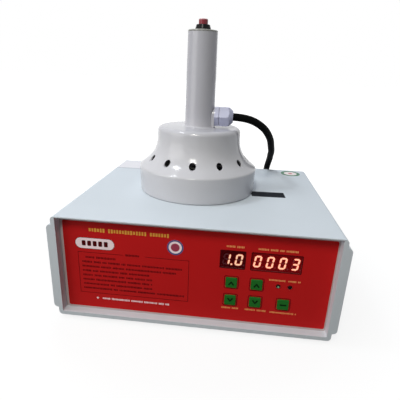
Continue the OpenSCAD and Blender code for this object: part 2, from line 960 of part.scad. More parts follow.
// Hexagon nut whose outer end is turned to a dome
module gland_nut_form() {
    wide = gland_af / 2 / cos(30);
    translate([0, 0, gland_flange + gland_nut_gap]) difference() {
        intersection() {
            hex(gland_af, gland_nut_len);
            rotate_extrude() polygon(rounded([[0, 0, 0], [wide, 0, 0], [wide, gland_nut_shoulder, gland_dome],
                [gland_nut_end_r, gland_nut_len, gland_end_round], [0, gland_nut_len, 0]]));
        }
        translate([0, 0, -over]) cylinder(r = gland_neck_r + gland_fit, h = gland_neck + over);
        cylinder(d = lead_d + 4 * gland_fit, h = gland_nut_len + over);
    }
}

module gland_seal_form() {
    translate([0, 0, gland_flange + gland_neck - gland_seal_len])
        ring(gland_bore_r, lead_d / 2, gland_seal_len);
}

module rear_gland_body() {
    color("#b4b6ca") on_rear(gland_x, gland_up) gland_body_form(gland_thread);
}

module rear_gland_nut() {
    color("#b4b6ca") on_rear(gland_x, gland_up) gland_nut_form();
}

module rear_gland_seal() {
    color("#2a2b2d") on_rear(gland_x, gland_up) gland_seal_form();
}

module rear_gland_locknut() {
    color("#b4b6ca") on_rear(gland_x, gland_up) translate([0, 0, -panel_t - locknut_t]) difference() {
        hex(locknut_af, locknut_t);
        translate([0, 0, -over]) cylinder(r = gland_thread_r + gland_fit, h = locknut_t + 2 * over);
    }
}

module head_gland_body() {
    color("#b4b6ca") on_handle_side() gland_body_form(gland_thread);
}

module head_gland_nut() {
    color("#b4b6ca") on_handle_side() gland_nut_form();
}

module head_gland_seal() {
    color("#2a2b2d") on_handle_side() gland_seal_form();
}

// Power stage on the case floor

module power_board() {
    color("#1f5a35") translate([power_x, power_y, floor_z + post_high]) linear_extrude(board_t) difference() {
        square([power_w, power_d], center = true);
        corners(power_hole_x, power_hole_y) circle(r = small_hole_r);
    }
}

module power_board_screws() {
    color("#8d9096") translate([power_x, power_y, power_z]) corners(power_hole_x, power_hole_y) {
        cylinder(r = small_head_r, h = small_head_t);
        translate([0, 0, small_hole_r - post_high]) cylinder(r = small_screw_r, h = post_high);
    }
}

module heatsink() {
    pitch = (sink_w - sink_fin_t) / (sink_fins - 1);
    color("#b9bcc1") translate([power_x + sink_x, power_y, power_z]) {
        translate([-sink_w / 2, -sink_d / 2, 0]) cube([sink_w, sink_d, sink_base]);
        for (i = [0 : sink_fins - 1])
            translate([i * pitch - sink_w / 2, -sink_d / 2, sink_base / 2])
                cube([sink_fin_t, sink_d, sink_h]);
    }
}

module bulk_capacitor() {
    color("#27324a") translate([power_x + can_x, power_y + can_y, power_z]) rotate_extrude()
        polygon(rounded([[0, 0, 0], [can_r, 0, can_edge], [can_r, can_groove_z - can_groove, 0],
            [can_r - can_groove, can_groove_z, 0], [can_r, can_groove_z + can_groove, 0],
            [can_r, can_h, 2 * can_edge], [0, can_h, 0]]));
}

module resonant_capacitors() {
    color("#c9c7bd") for (i = [0 : box_n - 1])
        translate([power_x + box_x, power_y + box_y + (i - (box_n - 1) / 2) * box_pitch, power_z + box_h / 2])
            cube([box_w, box_d, box_h], center = true);
}

module transformer_core() {
    color("#2e2f31") translate([power_x + core_x, power_y + core_y, power_z + core_h / 2]) rotate([90, 0, 0])
        linear_extrude(core_d, center = true) {
            difference() {
                square([core_w, core_h], center = true);
                square([core_w - 2 * core_leg, core_h - 2 * core_leg], center = true);
            }
            square([core_mid, core_h], center = true);
        }
}

module transformer_winding() {
    w = core_w - 2 * core_leg - 2 * wind_gap;
    h = core_h - 2 * core_leg;
    color("#a5662f") translate([power_x + core_x, power_y + core_y, power_z + core_leg])
        linear_extrude(h) difference() {
            rounded_rect(w, core_d + 2 * wind_out, open_round);
            square([core_mid + 2 * wind_gap, core_d + 2 * wind_gap], center = true);
        }
}

// Sealing head

module head_outline() {
    polygon(rounded([[0, 0, 0], [flange_r - flange_draft, 0, base_round], [flange_r, flange_h, flange_round],
        [neck_r, slope_z, flare_r], [neck_r - flange_draft / 2, head_h, neck_round],
        [handle_r, head_h, handle_foot_round], [handle_top_r, handle_z, 0], [0, handle_z, 0]]));
}

module head_cavity() {
    w = head_wall;
    low = flange_h - slope_drop + w * tan(flare_slope);
    polygon(rounded([[0, -over, 0], [flange_r - flange_draft - w, -over, 0], [flange_r - w, low, 0],
        [neck_r - w, slope_z - slope_drop + w * tan(flare_slope), flare_r + w],
        [neck_r - flange_draft / 2 - w, head_h - w, neck_round - w], [handle_r - w, head_h - w, 0],
        [handle_top_r - w, handle_z + over, 0], [0, handle_z + over, 0]]));
    translate(vent_groove) circle(r = vent_groove_r);
}

module head_studs() {
    for (i = [0 : stud_n - 1])
        rotate((i + 0.5) * 360 / stud_n) translate([stud_ring_r, 0, 0]) children();
}

// One moulding: flange, vented flare, neck and tapered handle with a flat seat for the lead gland
module head_shell() {
    color("#c8c8ca") on_head() difference() {
        union() {
            difference() {
                union() {
                    rotate_extrude($fn = 180) head_outline();
                    gland_seat_block();
                }
                rotate_extrude($fn = 180) head_cavity();
            }
            intersection() {
                rotate_extrude($fn = 180) head_outline();
                head_studs() translate([0, 0, base_z]) cylinder(r = stud_r, h = stud_h);
            }
        }
        head_studs() translate([0, 0, base_z - over]) cylinder(r = small_hole_r, h = stud_hole + over);
        for (i = [0 : vent_n - 1])
            rotate(i * 360 / vent_n - 90) translate([neck_r - 3 * head_wall, 0, vent_up])
                rotate([0, 90, 0]) cylinder(d = vent_d, h = flange_r);
        translate([0, 0, head_gland_up + head_h]) rotate([0, 90, 0])
            cylinder(r = gland_thread_r + gland_fit, h = 2 * handle_r);
    }
}

module gland_seat_block() {
    z = head_h - head_wall / 2;
    up = head_h + head_gland_up;
    rotate([90, 0, 90]) linear_extrude(gland_seat) {
        translate([0, up]) circle(r = gland_pad);
        translate([-gland_pad, z]) square([2 * gland_pad, up - z]);
    }
}

module base_plate() {
    color("#d8d6d0") on_head() translate([0, 0, base_up]) difference() {
        cylinder(r = base_r, h = base_t);
        head_studs() translate([0, 0, -over]) cylinder(r = small_hole_r, h = base_t + 2 * over);
        head_studs() cylinder(r1 = csk_r, r2 = small_hole_r, h = csk_t);
    }
}

module base_screws() {
    color("#8d9096") on_head() head_studs() translate([0, 0, base_up]) {
        cylinder(r1 = csk_r - run_gap, r2 = small_screw_r, h = csk_t);
        cylinder(r = small_screw_r, h = base_t + stud_hole - over);
    }
}

// Disc with a channel for the coil in its underside
module coil_former() {
    color("#cfc9b8") on_head() translate([0, 0, base_z]) difference() {
        cylinder(r = former_r, h = former_t);
        translate([0, 0, -over]) cylinder(r = former_bore_r, h = former_t + 2 * over);
        translate([0, 0, -over]) ring(coil_out_r + former_gap, coil_in_r - coil_wire_r - former_gap,
            2 * coil_wire_r + over);
    }
}

module induction_coil() {
    color("#b06a34") on_head() translate([0, 0, base_z + coil_wire_r]) rotate_extrude()
        for (i = [0 : coil_n - 1])
            translate([coil_in_r + i * coil_pitch, 0]) circle(r = coil_wire_r, $fn = 24);
}

module ferrite_bars() {
    color("#35363a") on_head() for (i = [0 : bar_n - 1])
        rotate(i * 360 / bar_n) translate([bar_in_r, -bar_w / 2, base_z + former_t])
            cube([bar_len, bar_w, bar_t]);
}

module handle_cap() {
    plug_r = handle_top_r - head_wall - cap_fit;
    color("#a9abaf") on_head() translate([0, 0, handle_z]) difference() {
        union() {
            rotate_extrude() polygon(rounded([[0, 0, 0], [handle_top_r - cap_step, 0, 0],
                [handle_top_r - cap_step, cap_step, 0], [handle_top_r, cap_step, 0],
                [handle_top_r, cap_rim, cap_edge], [0, cap_rim, 0]]));
            translate([0, 0, -cap_plug]) ring(plug_r, plug_r - cap_plug_t, cap_plug + over);
        }
        translate([0, 0, -over]) cylinder(r = bush_r + bush_fit, h = cap_rim + 2 * over);
    }
}

// Trigger switch: conical bezel, threaded bush through the cap and contact block below
module trigger_body() {
    color("#141416") on_head() translate([0, 0, handle_z + cap_rim]) difference() {
        union() {
            rotate_extrude() polygon(rounded([[0, 0, 0], [bezel_r, 0, bezel_edge],
                [bezel_top_r, bezel_h, bezel_edge], [0, bezel_h, 0]]));
            translate([0, 0, -bush_len]) cylinder(r = bush_r, h = bush_len + over);
            translate([0, 0, -bush_len - button_len]) cylinder(r = button_r, h = button_len + over);
        }
        translate([0, 0, -trigger_well])
            cylinder(r = trigger_r + trigger_gap, h = trigger_well + bezel_h + over);
    }
}

module trigger_nut() {
    color("#8d9096") on_head() translate([0, 0, handle_z - button_nut_t]) difference() {
        hex(button_nut_af, button_nut_t);
        translate([0, 0, -over]) cylinder(r = bush_r + bush_fit, h = button_nut_t + 2 * over);
    }
}

module trigger_button() {
    low = trigger_travel + trigger_gap - trigger_well;
    high = bezel_h + trigger_rise;
    color("#b03a48") on_head() translate([0, 0, handle_z + cap_rim]) rotate_extrude()
        polygon(rounded([[0, low, 0], [trigger_r, low, 0], [trigger_r, high, trigger_round], [0, high, 0]]));
}

// Lead

function side_of(t) = unit(cross(t, [0, 0, 1]));

// Round tube swept along a route
module swept(pts, d) {
    n = len(pts);
    m = lead_sides;
    rings = [for (i = [0 : n - 1]) let (
        t = unit(pts[min(i + 1, n - 1)] - pts[max(i - 1, 0)]),
        u = side_of(t),
        w = cross(u, t))
        for (j = [0 : m - 1]) pts[i] + d / 2 * (cos(j * 360 / m) * u + sin(j * 360 / m) * w)];
    sides = [for (i = [0 : n - 2], j = [0 : m - 1]) let (k = (j + 1) % m)
        each [[i * m + j, i * m + k, (i + 1) * m + k], [i * m + j, (i + 1) * m + k, (i + 1) * m + j]]];
    first = [for (j = [m - 1 : -1 : 0]) j];
    last = [for (j = [0 : m - 1]) (n - 1) * m + j];
    polyhedron(points = rings, faces = concat([first, last], sides));
}

module lead_upper() {
    color("#0d0f10") swept(concat([lead_start, lead_exit], lead_air, lead_land), lead_d);
}

module lead_coil() {
    color("#0d0f10") translate([lead_coil_x, lead_coil_y, lead_d / 2 + lead_swell]) rotate_extrude()
        for (i = [0 : lead_turns - 1])
            translate([lead_coil_r, i * lead_pitch]) circle(d = lead_d + 2 * lead_swell, $fn = 32);
}

module lead_lower() {
    color("#0d0f10") swept(concat(lead_rise, [lead_back, lead_end]), lead_d);
}

lower_case();
upper_case();
feet();
case_screws();
front_panel();
panel_film();
time_window();
count_window();
time_display();
count_display();
control_board();
board_spacers();
board_screws();
tact_switches();
key_time_up();
key_time_down();
key_power_up();
key_power_down();
key_reset();
led_working();
led_alarm();
rear_panel();
fan_frame();
fan_rotor();
fan_guard();
fan_screws();
mains_inlet();
inlet_blades();
switch_body();
power_rocker();
fuse_holder();
fuse_cap();
rear_gland_body();
rear_gland_nut();
rear_gland_seal();
rear_gland_locknut();
power_board();
power_board_screws();
heatsink();
bulk_capacitor();
resonant_capacitors();
transformer_core();
transformer_winding();
head_shell();
base_plate();
base_screws();
coil_former();
induction_coil();
ferrite_bars();
handle_cap();
trigger_body();
trigger_nut();
trigger_button();
head_gland_body();
head_gland_nut();
head_gland_seal();
lead_upper();
lead_coil();
lead_lower();
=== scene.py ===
"""Finish, print, lead, studio and camera of a hand-held induction cap sealer."""
import math

import bmesh
import bpy
from bpy.props import (FloatProperty, FloatVectorProperty, IntProperty, PointerProperty,
                       StringProperty)
from mathutils import Matrix, Vector


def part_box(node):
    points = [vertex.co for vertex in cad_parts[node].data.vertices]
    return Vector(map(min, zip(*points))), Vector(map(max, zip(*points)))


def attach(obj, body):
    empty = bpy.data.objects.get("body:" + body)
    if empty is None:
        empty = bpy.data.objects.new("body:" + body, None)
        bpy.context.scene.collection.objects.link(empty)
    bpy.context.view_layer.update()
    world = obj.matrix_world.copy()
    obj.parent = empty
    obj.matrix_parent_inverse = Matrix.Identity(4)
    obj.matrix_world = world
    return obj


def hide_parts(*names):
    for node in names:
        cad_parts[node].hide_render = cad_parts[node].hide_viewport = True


bl_info = {
    "name": "Induction Cap Sealer",
    "version": (1, 0, 0),
    "blender": (4, 5, 0),
    "location": "View3D > Sidebar > Sealer",
    "description": "Dresses the sealer's pieces and sets up its studio",
    "category": "Object",
}

MM = 0.001
ROOT = "sealer"
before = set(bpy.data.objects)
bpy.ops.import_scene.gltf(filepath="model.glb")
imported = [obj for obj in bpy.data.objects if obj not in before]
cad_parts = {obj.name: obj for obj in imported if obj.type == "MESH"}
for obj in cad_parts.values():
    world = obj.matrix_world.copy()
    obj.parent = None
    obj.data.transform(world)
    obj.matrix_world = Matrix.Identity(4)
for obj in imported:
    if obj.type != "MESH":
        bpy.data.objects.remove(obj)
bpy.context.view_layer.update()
CASE_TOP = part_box("upper_case")[1].z
MATERIALS = {}
# Softened copies: what counts as one point or face, steps of the bevel and angle of an edge
SAME_POINT, SAME_FACE = 0.002 * MM, math.radians(0.3)
EDGE_STEPS, EDGE_ANGLE = 2, math.radians(35)
# Softened edges in millimetres
CASE_EDGE, HEAD_EDGE, CAP_EDGE = 0.6, 0.5, 0.15
KEY_EDGE, BEZEL_EDGE, BUTTON_EDGE = 0.25, 0.25, 0.3


# Shared helpers


def linear(colour):
    """Linear colour of an sRGB hex value."""
    parts = [int(colour[i:i + 2], 16) / 255 for i in (1, 3, 5)]
    return [c / 12.92 if c <= 0.04045 else ((c + 0.055) / 1.055) ** 2.4 for c in parts] + [1.0]


def add(tree, kind, inputs=None, **settings):
    """A node with its settings, its fixed sockets and the links into it, from a socket or from a
    node's first output in use."""
    node = tree.nodes.new(kind)
    for name, value in settings.items():
        setattr(node, name, value)
    for socket, value in (inputs or {}).items():
        if isinstance(value, bpy.types.Node):
            value = next(output for output in value.outputs if output.enabled)
        if isinstance(value, bpy.types.NodeSocket):
            tree.links.new(value, node.inputs[socket])
        else:
            node.inputs[socket].default_value = value
    return node


def blank(owner):
    """Emptied node tree of a material or a world."""
    owner.use_nodes = True
    owner.node_tree.nodes.clear()
    return owner.node_tree


def middle(node):
    """Middle of a node's box."""
    return [(a + b) / 2 for a, b in zip(*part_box(node))]


def front(node):
    """Middle of a node's front face."""
    x, _, z = middle(node)
    return x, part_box(node)[0].y, z


def linked(name, data):
    """New object in the scene."""
    made = bpy.data.objects.new(name, data)
    bpy.context.scene.collection.objects.link(made)
    return made


def finish_piece(mesh, name, material, body=ROOT, slot=None, replaces=(), smooth=0.0):
    """Puts a mesh in the scene as a piece that rides on a body."""
    piece = linked(name, mesh)
    mesh.materials.clear()
    mesh.materials.append(MATERIALS[material])
    if smooth:
        mesh.shade_smooth()
        mesh.set_sharp_from_angle(angle=math.radians(smooth))
    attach(piece, body)
    if replaces:
        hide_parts(*replaces)
    return piece


def printed(mesh, name, colour):
    """Puts a mesh on the film in one of its inks."""
    finish_piece(mesh, name, "Film ink, " + colour, slot="red_film")


def mesh_of(bm, name):
    """Mesh of a bmesh, with its faces turned outward."""
    bmesh.ops.recalc_face_normals(bm, faces=bm.faces)
    mesh = bpy.data.meshes.new(name)
    bm.to_mesh(mesh)
    bm.free()
    return mesh


def wall(bm, row, other):
    """Faces between two closed rows of points."""
    for i in range(len(row)):
        j = (i + 1) % len(row)
        bm.faces.new((row[i], row[j], other[j], other[i]))


def prisms(outlines, place, thick):
    """One mesh of flat plates: each outline lies in the plane that place maps, raised by thick."""
    bm = bmesh.new()
    for outline in outlines:
        low, high = ([bm.verts.new(place(x, y, h)) for x, y in outline] for h in (0.0, thick))
        bm.faces.new(low)
        bm.faces.new(high)
        wall(bm, low, high)
    return mesh_of(bm, "plates")


def bands(loops, place, thick):
    """One mesh of flat rings: each pair of outlines has as many points inside as outside."""
    bm = bmesh.new()
    for outer, inner in loops:
        rows = [[bm.verts.new(place(x, y, h)) for x, y in loop]
                for loop, h in ((outer, 0.0), (outer, thick), (inner, thick), (inner, 0.0))]
        for row, other in zip(rows, rows[1:] + rows[:1]):
            wall(bm, row, other)
    return mesh_of(bm, "rings")


def rounded_rectangle(cx, cy, w, h, r, steps=8):
    """Outline of a rectangle with round corners."""
    points = []
    for k, (sx, sy) in enumerate(((1, 1), (-1, 1), (-1, -1), (1, -1))):
        for i in range(steps + 1):
            a = math.radians(90 * (k + i / steps))
            points.append((cx + sx * (w / 2 - r) + r * math.cos(a),
                           cy + sy * (h / 2 - r) + r * math.sin(a)))
    return points


def ring_points(cx, cy, r, steps=64):
    """Outline of a circle."""
    turns = [2 * math.pi * i / steps for i in range(steps)]
    return [(cx + r * math.cos(a), cy + r * math.sin(a)) for a in turns]


def facing(x0, y0, z0, lift=0.0):
    """Maps millimetres across, up and out of a front face to the scene, lifted off the face."""
    return lambda x, up, out: (x0 + x * MM, y0 - (lift + out) * MM, z0 + up * MM)


def evaluated(piece):
    """Mesh that an object's modifiers give; the object itself is taken away."""
    depsgraph = bpy.context.evaluated_depsgraph_get()
    mesh = bpy.data.meshes.new_from_object(piece.evaluated_get(depsgraph))
    bpy.data.objects.remove(piece)
    return mesh


def refined(node, edge):
    """A copy of a node's solid with merged facets, softened edges and smooth curves."""
    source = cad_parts[node].data
    mesh = bpy.data.meshes.new(node + "_finish")
    mesh.from_pydata([v.co for v in source.vertices], [],
                     [list(p.vertices) for p in source.polygons])
    bm = bmesh.new()
    bm.from_mesh(mesh)
    bmesh.ops.remove_doubles(bm, verts=bm.verts, dist=SAME_POINT)
    bmesh.ops.dissolve_limit(bm, angle_limit=SAME_FACE, verts=bm.verts, edges=bm.edges)
    bm.to_mesh(mesh)
    bm.free()
    work = linked(node + "_work", mesh)
    mesh.shade_smooth()
    mesh.set_sharp_from_angle(angle=EDGE_ANGLE)
    bevel = work.modifiers.new("Edges", "BEVEL")
    bevel.width = edge * MM
    bevel.segments = EDGE_STEPS
    bevel.limit_method = "ANGLE"
    bevel.angle_limit = EDGE_ANGLE
    bevel.harden_normals = True
    done = evaluated(work)
    done.name = node + "_finish"
    return done


def refinish(node, edge, name, material, slot, body=ROOT):
    """Shows a node by a copy whose edges are softened by some millimetres."""
    finish_piece(refined(node, edge), name, material, body=body, slot=slot, replaces=(node,))


def dress(material, *nodes):
    """Gives CAD nodes that keep their own shape their finish."""
    for node in nodes:
        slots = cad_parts[node].data.materials
        slots.clear()
        slots.append(MATERIALS[material])


# Sizes and colours

PANEL_MID = Vector(front("panel_film"))


def length(name, description, millimetres):
    """Setting of a length."""
    return FloatProperty(name=name, description=description, default=millimetres * MM,
                         unit="LENGTH")


def angle(name, description, degrees):
    """Setting of an angle."""
    return FloatProperty(name=name, description=description, default=math.radians(degrees),
                         subtype="ANGLE")


def power(name, description, watts):
    """Setting of a lamp's power."""
    return FloatProperty(name=name, description=description, default=watts, unit="POWER")


def string(name, description, default):
    """Setting of digits or of an sRGB hex colour."""
    return StringProperty(name=name, description=description, default=default)


class CameraSettings(bpy.types.PropertyGroup):
    """Where the photographer stood."""
    place: FloatVectorProperty(name="Place", description="Camera position", subtype="XYZ",
                               unit="LENGTH", default=(0.03394, -0.44871, 0.26549))
    azimuth: angle("Azimuth", "Turn to the right of the front", 5.247)
    elevation: angle("Elevation", "Tilt above the horizon", 19.421)
    roll: angle("Roll", "Lean of the frame", 2.391)
    lens: FloatProperty(name="Lens", description="Focal length on a 36 mm sensor", min=10.0,
                        subtype="DISTANCE_CAMERA", default=32.585)


class LeadSettings(bpy.types.PropertyGroup):
    """The lead between the head and the case."""
    diameter: length("Diameter", "Outer diameter of the jacket", 9.4)
    coil_radius: length("Coil radius", "Coil radius at the middle of the lead", 50)
    turns: FloatProperty(name="Turns", description="Turns of the coil behind the case", min=1.0,
                         default=2.5)
    coil_low: length("Lowest turn", "Height of the lowest turn's middle", 5.2)
    coil_high: length("Highest turn", "Height of the highest turn's middle", 29.2)


class PrintSettings(bpy.types.PropertyGroup):
    """Print and digits."""
    ink: length("Ink height", "Thickness of the print", 0.05)
    time_height: length("Time digit height", "Height of a digit of the left display", 12.8)
    count_height: length("Count digit height", "Height of a digit of the right display", 13.3)
    digit_pitch: length("Digit pitch", "Distance between digits", 12.65)
    digit_slant: angle("Digit slant", "Lean of the digits", 8)
    time_text: string("Time", "Digits of the left display", "1.0")
    count_text: string("Count", "Digits of the right display", "0003")
    row_seed: IntProperty(name="Row seed", description="Seed of the printed rows", min=0,
                          default=4)


class FinishSettings(bpy.types.PropertyGroup):
    """Colours of the main finishes, as sRGB hex values."""
    case: string("Case", "Colour of the case shells", "#D0D8DF")
    head: string("Head", "Colour of the sealing head", "#C6C6CB")
    # The handle's colour is the head's grey painted darker, as shade on the handle
    handle: string("Handle", "Colour of the handle", "#B4B4BC")
    film: string("Film", "Colour of the panel film", "#C2191A")
    keys: string("Keys", "Colour of the keys", "#1A6A20")
    gland: string("Glands", "Colour of the cable glands", "#BFC2DC")
    lead: string("Lead", "Colour of the lead", "#060707")


class StageSettings(bpy.types.PropertyGroup):
    """Studio light."""
    overhead: power("Overhead light", "Power of the soft light above", 4.6)
    window: power("Window light", "Power of the small light high on the left", 4.6)
    front: power("Front light", "Power of the narrow light above the front", 9.2)
    side: power("Side light", "Power of the soft light low on the left", 7.8)
    fill: power("Fill light", "Power of the soft light behind on the right", 4.8)
    rear: power("Rear light", "Power of the soft light behind", 6.0)
    sky: FloatProperty(name="Sky", description="Strength of the even light", min=0.0,
                       default=0.07)


# Materials

CLOUD_DETAIL, GRAIN_DETAIL, GRAIN_DEPTH = 3.0, 2.0, 0.1 * MM
LEAST_ROUGHNESS, COAT_ROUGHNESS, LENS_ROUGHNESS = 0.02, 0.1, 0.3
PANE_ROUGHNESS, PANE_ALPHA = 0.4, 0.5
# Share of a lamp's spot that is fully lit, the spot's radius and its strength
SPOT_CORE, SPOT_RADIUS, SPOT_STRENGTH = 0.4, 1.3 * MM, 0.5
# Where the head's grey turns into the handle's painted shade, from the gland's foot, and where the
# trigger's painted highlight starts, from its top
HANDLE_SHADE_BLEND, TOP_HIGHLIGHT_BLEND = (-15 * MM, 10 * MM), (-1.6 * MM, -0.2 * MM)


def surface(name, colour, roughness, *, metallic=0.0, mottle=0.03, mottle_mm=18.0, grain_mm=0.7,
            grain=0.05, wear=0.04, coat=0.0, specular=0.5):
    """Base of the solid finishes: a little cloudiness in the colour, uneven gloss and a fine
    moulded grain. Gives the node tree and the shader."""
    MATERIALS[name] = bpy.data.materials.new(name)
    tree = blank(MATERIALS[name])
    place = add(tree, "ShaderNodeTexCoord").outputs["Object"]
    cloud = add(tree, "ShaderNodeTexNoise", {
        "Vector": place, "Scale": 1 / (mottle_mm * MM), "Detail": CLOUD_DETAIL})
    base = linear(colour)[:3]
    tint = add(tree, "ShaderNodeMix", {
        "Factor": cloud, "A": [c * (1 - mottle) for c in base] + [1],
        "B": [min(1.0, c * (1 + mottle)) for c in base] + [1]}, data_type="RGBA")
    gloss = add(tree, "ShaderNodeMapRange", {
        "Value": cloud, "To Min": max(LEAST_ROUGHNESS, roughness - wear),
        "To Max": min(1.0, roughness + wear)})
    fine = add(tree, "ShaderNodeTexNoise", {
        "Vector": place, "Scale": 1 / (grain_mm * MM), "Detail": GRAIN_DETAIL})
    bump = add(tree, "ShaderNodeBump", {"Height": fine, "Strength": grain, "Distance": GRAIN_DEPTH})
    shader = add(tree, "ShaderNodeBsdfPrincipled", {
        "Base Color": tint, "Metallic": metallic, "Roughness": gloss, "Normal": bump,
        "Coat Weight": coat, "Coat Roughness": COAT_ROUGHNESS, "Specular IOR Level": specular})
    add(tree, "ShaderNodeOutputMaterial", {"Surface": shader})
    return tree, shader


def glowing(name, colour, strength):
    """A lit lens: its own light over a smooth plastic body."""
    _, shader = surface(name, colour, LENS_ROUGHNESS, mottle=0.02, grain=0.0, specular=0.05)
    shader.inputs["Emission Color"].default_value = linear(colour)
    shader.inputs["Emission Strength"].default_value = strength


def graded(name, low, high, height, blend, roughness, **finish):
    """A solid finish whose colour changes near a height, over the span of the blend; here it paints
    the shade of the handle and the highlight on the trigger's top.
    """
    tree, shader = surface(name, low, roughness, **finish)
    place = add(tree, "ShaderNodeTexCoord").outputs["Object"]
    up = add(tree, "ShaderNodeSeparateXYZ", {0: place}).outputs["Z"]
    share = add(tree, "ShaderNodeMapRange", {
        "Value": up, "From Min": height + blend[0], "From Max": height + blend[1]})
    below = shader.inputs["Base Color"].links[0].from_socket
    mixed = add(tree, "ShaderNodeMix", {"Factor": share, "A": below, "B": linear(high)},
                data_type="RGBA")
    tree.links.new(mixed.outputs["Result"], shader.inputs["Base Color"])


def lamp_lens(name, colour):
    """A clear lamp body that looks dark."""
    return surface(name, colour, LENS_ROUGHNESS, mottle=0.1, mottle_mm=3, grain=0.0, specular=0.04)


def spotted(name, colour, spot, centre):
    """A lamp lens that glows in a small spot at its middle."""
    tree, shader = lamp_lens(name, colour)
    place = add(tree, "ShaderNodeTexCoord").outputs["Object"]
    away = add(tree, "ShaderNodeVectorMath", {0: place, 1: centre}, operation="DISTANCE")
    glow = add(tree, "ShaderNodeMapRange", {
        "Value": away, "From Min": SPOT_CORE * SPOT_RADIUS, "From Max": SPOT_RADIUS,
        "To Min": SPOT_STRENGTH, "To Max": 0.0})
    shader.inputs["Emission Color"].default_value = linear(spot)
    tree.links.new(glow.outputs["Result"], shader.inputs["Emission Strength"])


def tinted(name, colour):
    """A dark see-through plastic pane."""
    _, shader = surface(name, colour, PANE_ROUGHNESS, mottle=0.02, grain=0.0, wear=0.02,
                        specular=0.03)
    shader.inputs["Alpha"].default_value = PANE_ALPHA


def case_materials(given):
    """Moulded ABS of the case and head, and the rubber and nylon on them."""
    # Satin moulded ABS: pale and slightly cool, a soft sheen, grain drawn coarser than the real one
    surface("ABS, satin pale grey", given.case, 0.45, mottle=0.02, mottle_mm=60, grain_mm=0.9,
            specular=0.08)
    # Polished moulding of the head: gloss with slightly wavy reflections, and a handle painted
    # darker as shade
    graded("ABS, polished grey", given.head, given.handle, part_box("head_gland_body")[0].z,
           HANDLE_SHADE_BLEND, 0.15, mottle=0.02, mottle_mm=40, grain_mm=9, grain=0.02, specular=0.38)
    # Cap of the handle: the same moulding in a darker grey
    surface("ABS, olive grey", "#9C9D98", 0.3, mottle_mm=20, grain_mm=0.9, grain=0.04)
    # Rubber foot: dull and dark
    surface("Rubber, moulded black", "#1A1B1D", 0.75, mottle=0.08, grain_mm=0.6, grain=0.2,
            specular=0.3)
    # Nylon of the cable glands: milky with a faint violet cast
    surface("Nylon, pale violet grey", given.gland, 0.32, mottle_mm=12, grain_mm=0.8, specular=0.2)
    # Flexible PVC jacket of the lead: dark, soft highlights
    surface("PVC, flexible black", given.lead, 0.6, mottle=0.08, mottle_mm=30, grain_mm=1.2,
            grain=0.08, specular=0.03)
    # Black moulded plastic of the sockets and the fan: grained and half dull
    surface("Polyamide, black", "#131417", 0.5, mottle=0.06, grain_mm=0.8, grain=0.1, specular=0.12)
    # Bezel of the trigger: smooth black with a clear highlight
    surface("Polycarbonate, gloss black", "#0C0C0E", 0.2, mottle=0.05, grain_mm=6, grain=0.01,
            specular=0.12)
    # Translucent red cap of the trigger: deep red sides, and a paler top that is a painted
    # highlight
    graded("Acrylic, red", "#86222F", "#D0A0A6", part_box("trigger_button")[1].z, TOP_HIGHLIGHT_BLEND, 0.15,
           mottle=0.15, mottle_mm=5, grain_mm=4, grain=0.01, specular=0.3)


def panel_materials(given):
    """Film, inks, keys, displays, lamps and labels."""
    # Screen-printed polyester film: saturated red under a smooth clear face
    surface("Polyester film, red", given.film, 0.5, mottle=0.05, mottle_mm=35, grain_mm=0.6,
            grain=0.03, specular=0.12)
    # Bright inks: even and slightly glossy, so that they stand out from the red
    surface("Film ink, white", "#FFE8ED", 0.45, mottle_mm=4, grain=0.02)
    for name, colour in (("yellow", "#E0A030"), ("amber", "#F09A58"), ("blue", "#3B3F77")):
        surface("Film ink, " + name, colour, 0.45, mottle=0.05, mottle_mm=4, grain=0.02)
    # Deep inks: dull, so that they sink into the red
    for name, colour in (("dark red", "#5A0B10"), ("maroon", "#4A080C"), ("rose", "#A8435A")):
        surface("Film ink, " + name, colour, 0.6, mottle=0.06, mottle_mm=4, grain=0.02,
                specular=0.05)
    # Bare plate behind the film: pale, with a painted warm cast of light bounced from the red film
    # beside it
    surface("Plate, pale grey", "#C4B2B2", 0.5, grain_mm=0.8)
    # Green moulded key: deep colour with a soft face
    surface("ABS, green key", given.keys, 0.4, mottle=0.06, mottle_mm=6, grain=0.06, specular=0.1)
    # Sign on a key: a dull green so deep that it looks black
    surface("Key ink, dark green", "#041C07", 0.6, mottle=0.05, mottle_mm=4, grain=0.02,
            specular=0.03)
    # Potted display: a dark red face without shine, and bars that look milky while unlit
    for name, colour in (("Display epoxy, dark", "#4A0A10"), ("Display bar, unlit", "#C8A0B0")):
        surface(name, colour, 0.6, mottle=0.05, grain=0.02, specular=0.03)
    # Lit bars and the two steps of the light that spreads round them in the potting
    glowing("Display bar, lit", "#FFD8B4", 3.4)
    glowing("Display glow", "#F0602A", 1.2)
    glowing("Display haze", "#6A0E16", 0.6)
    # Smoked red windows over the displays; the wider one is a lighter red, a painted glow of the
    # many lit bars behind it
    tinted("Acrylic, smoked red", "#5A0A10")
    tinted("Acrylic, red window", "#A01218")
    # Clear lamp bodies: a green point of light in a dark lens, and a lens that stays dark
    spotted("Lamp epoxy, lit green", "#1A120E", "#9FCF9C", front("led_working"))
    lamp_lens("Lamp epoxy, unlit", "#120607")
    # Label strip: black foil that is too dull to mirror the head
    surface("Label foil, black", "#191C22", 0.65, mottle=0.08, mottle_mm=14, grain_mm=1.0,
            specular=0.03)
    # Paper label, a grey band along its front edge and the round sticker: matt, with a faint fibre
    surface("Label paper, white", "#E6E5EA", 0.6, mottle=0.02, mottle_mm=12, grain_mm=0.9)
    surface("Label edge, grey", "#BFC3CA", 0.6, mottle_mm=12, grain_mm=0.9)
    surface("Sticker paper, pale", "#EFE3E3", 0.55, mottle_mm=8, grain_mm=0.9)
    # Inks of the sticker: flat colour with little shine
    for name, colour in (("green", "#2F6B4C"), ("red", "#C4737B")):
        surface("Sticker ink, " + name, colour, 0.5, mottle=0.05, mottle_mm=6, grain=0.02)


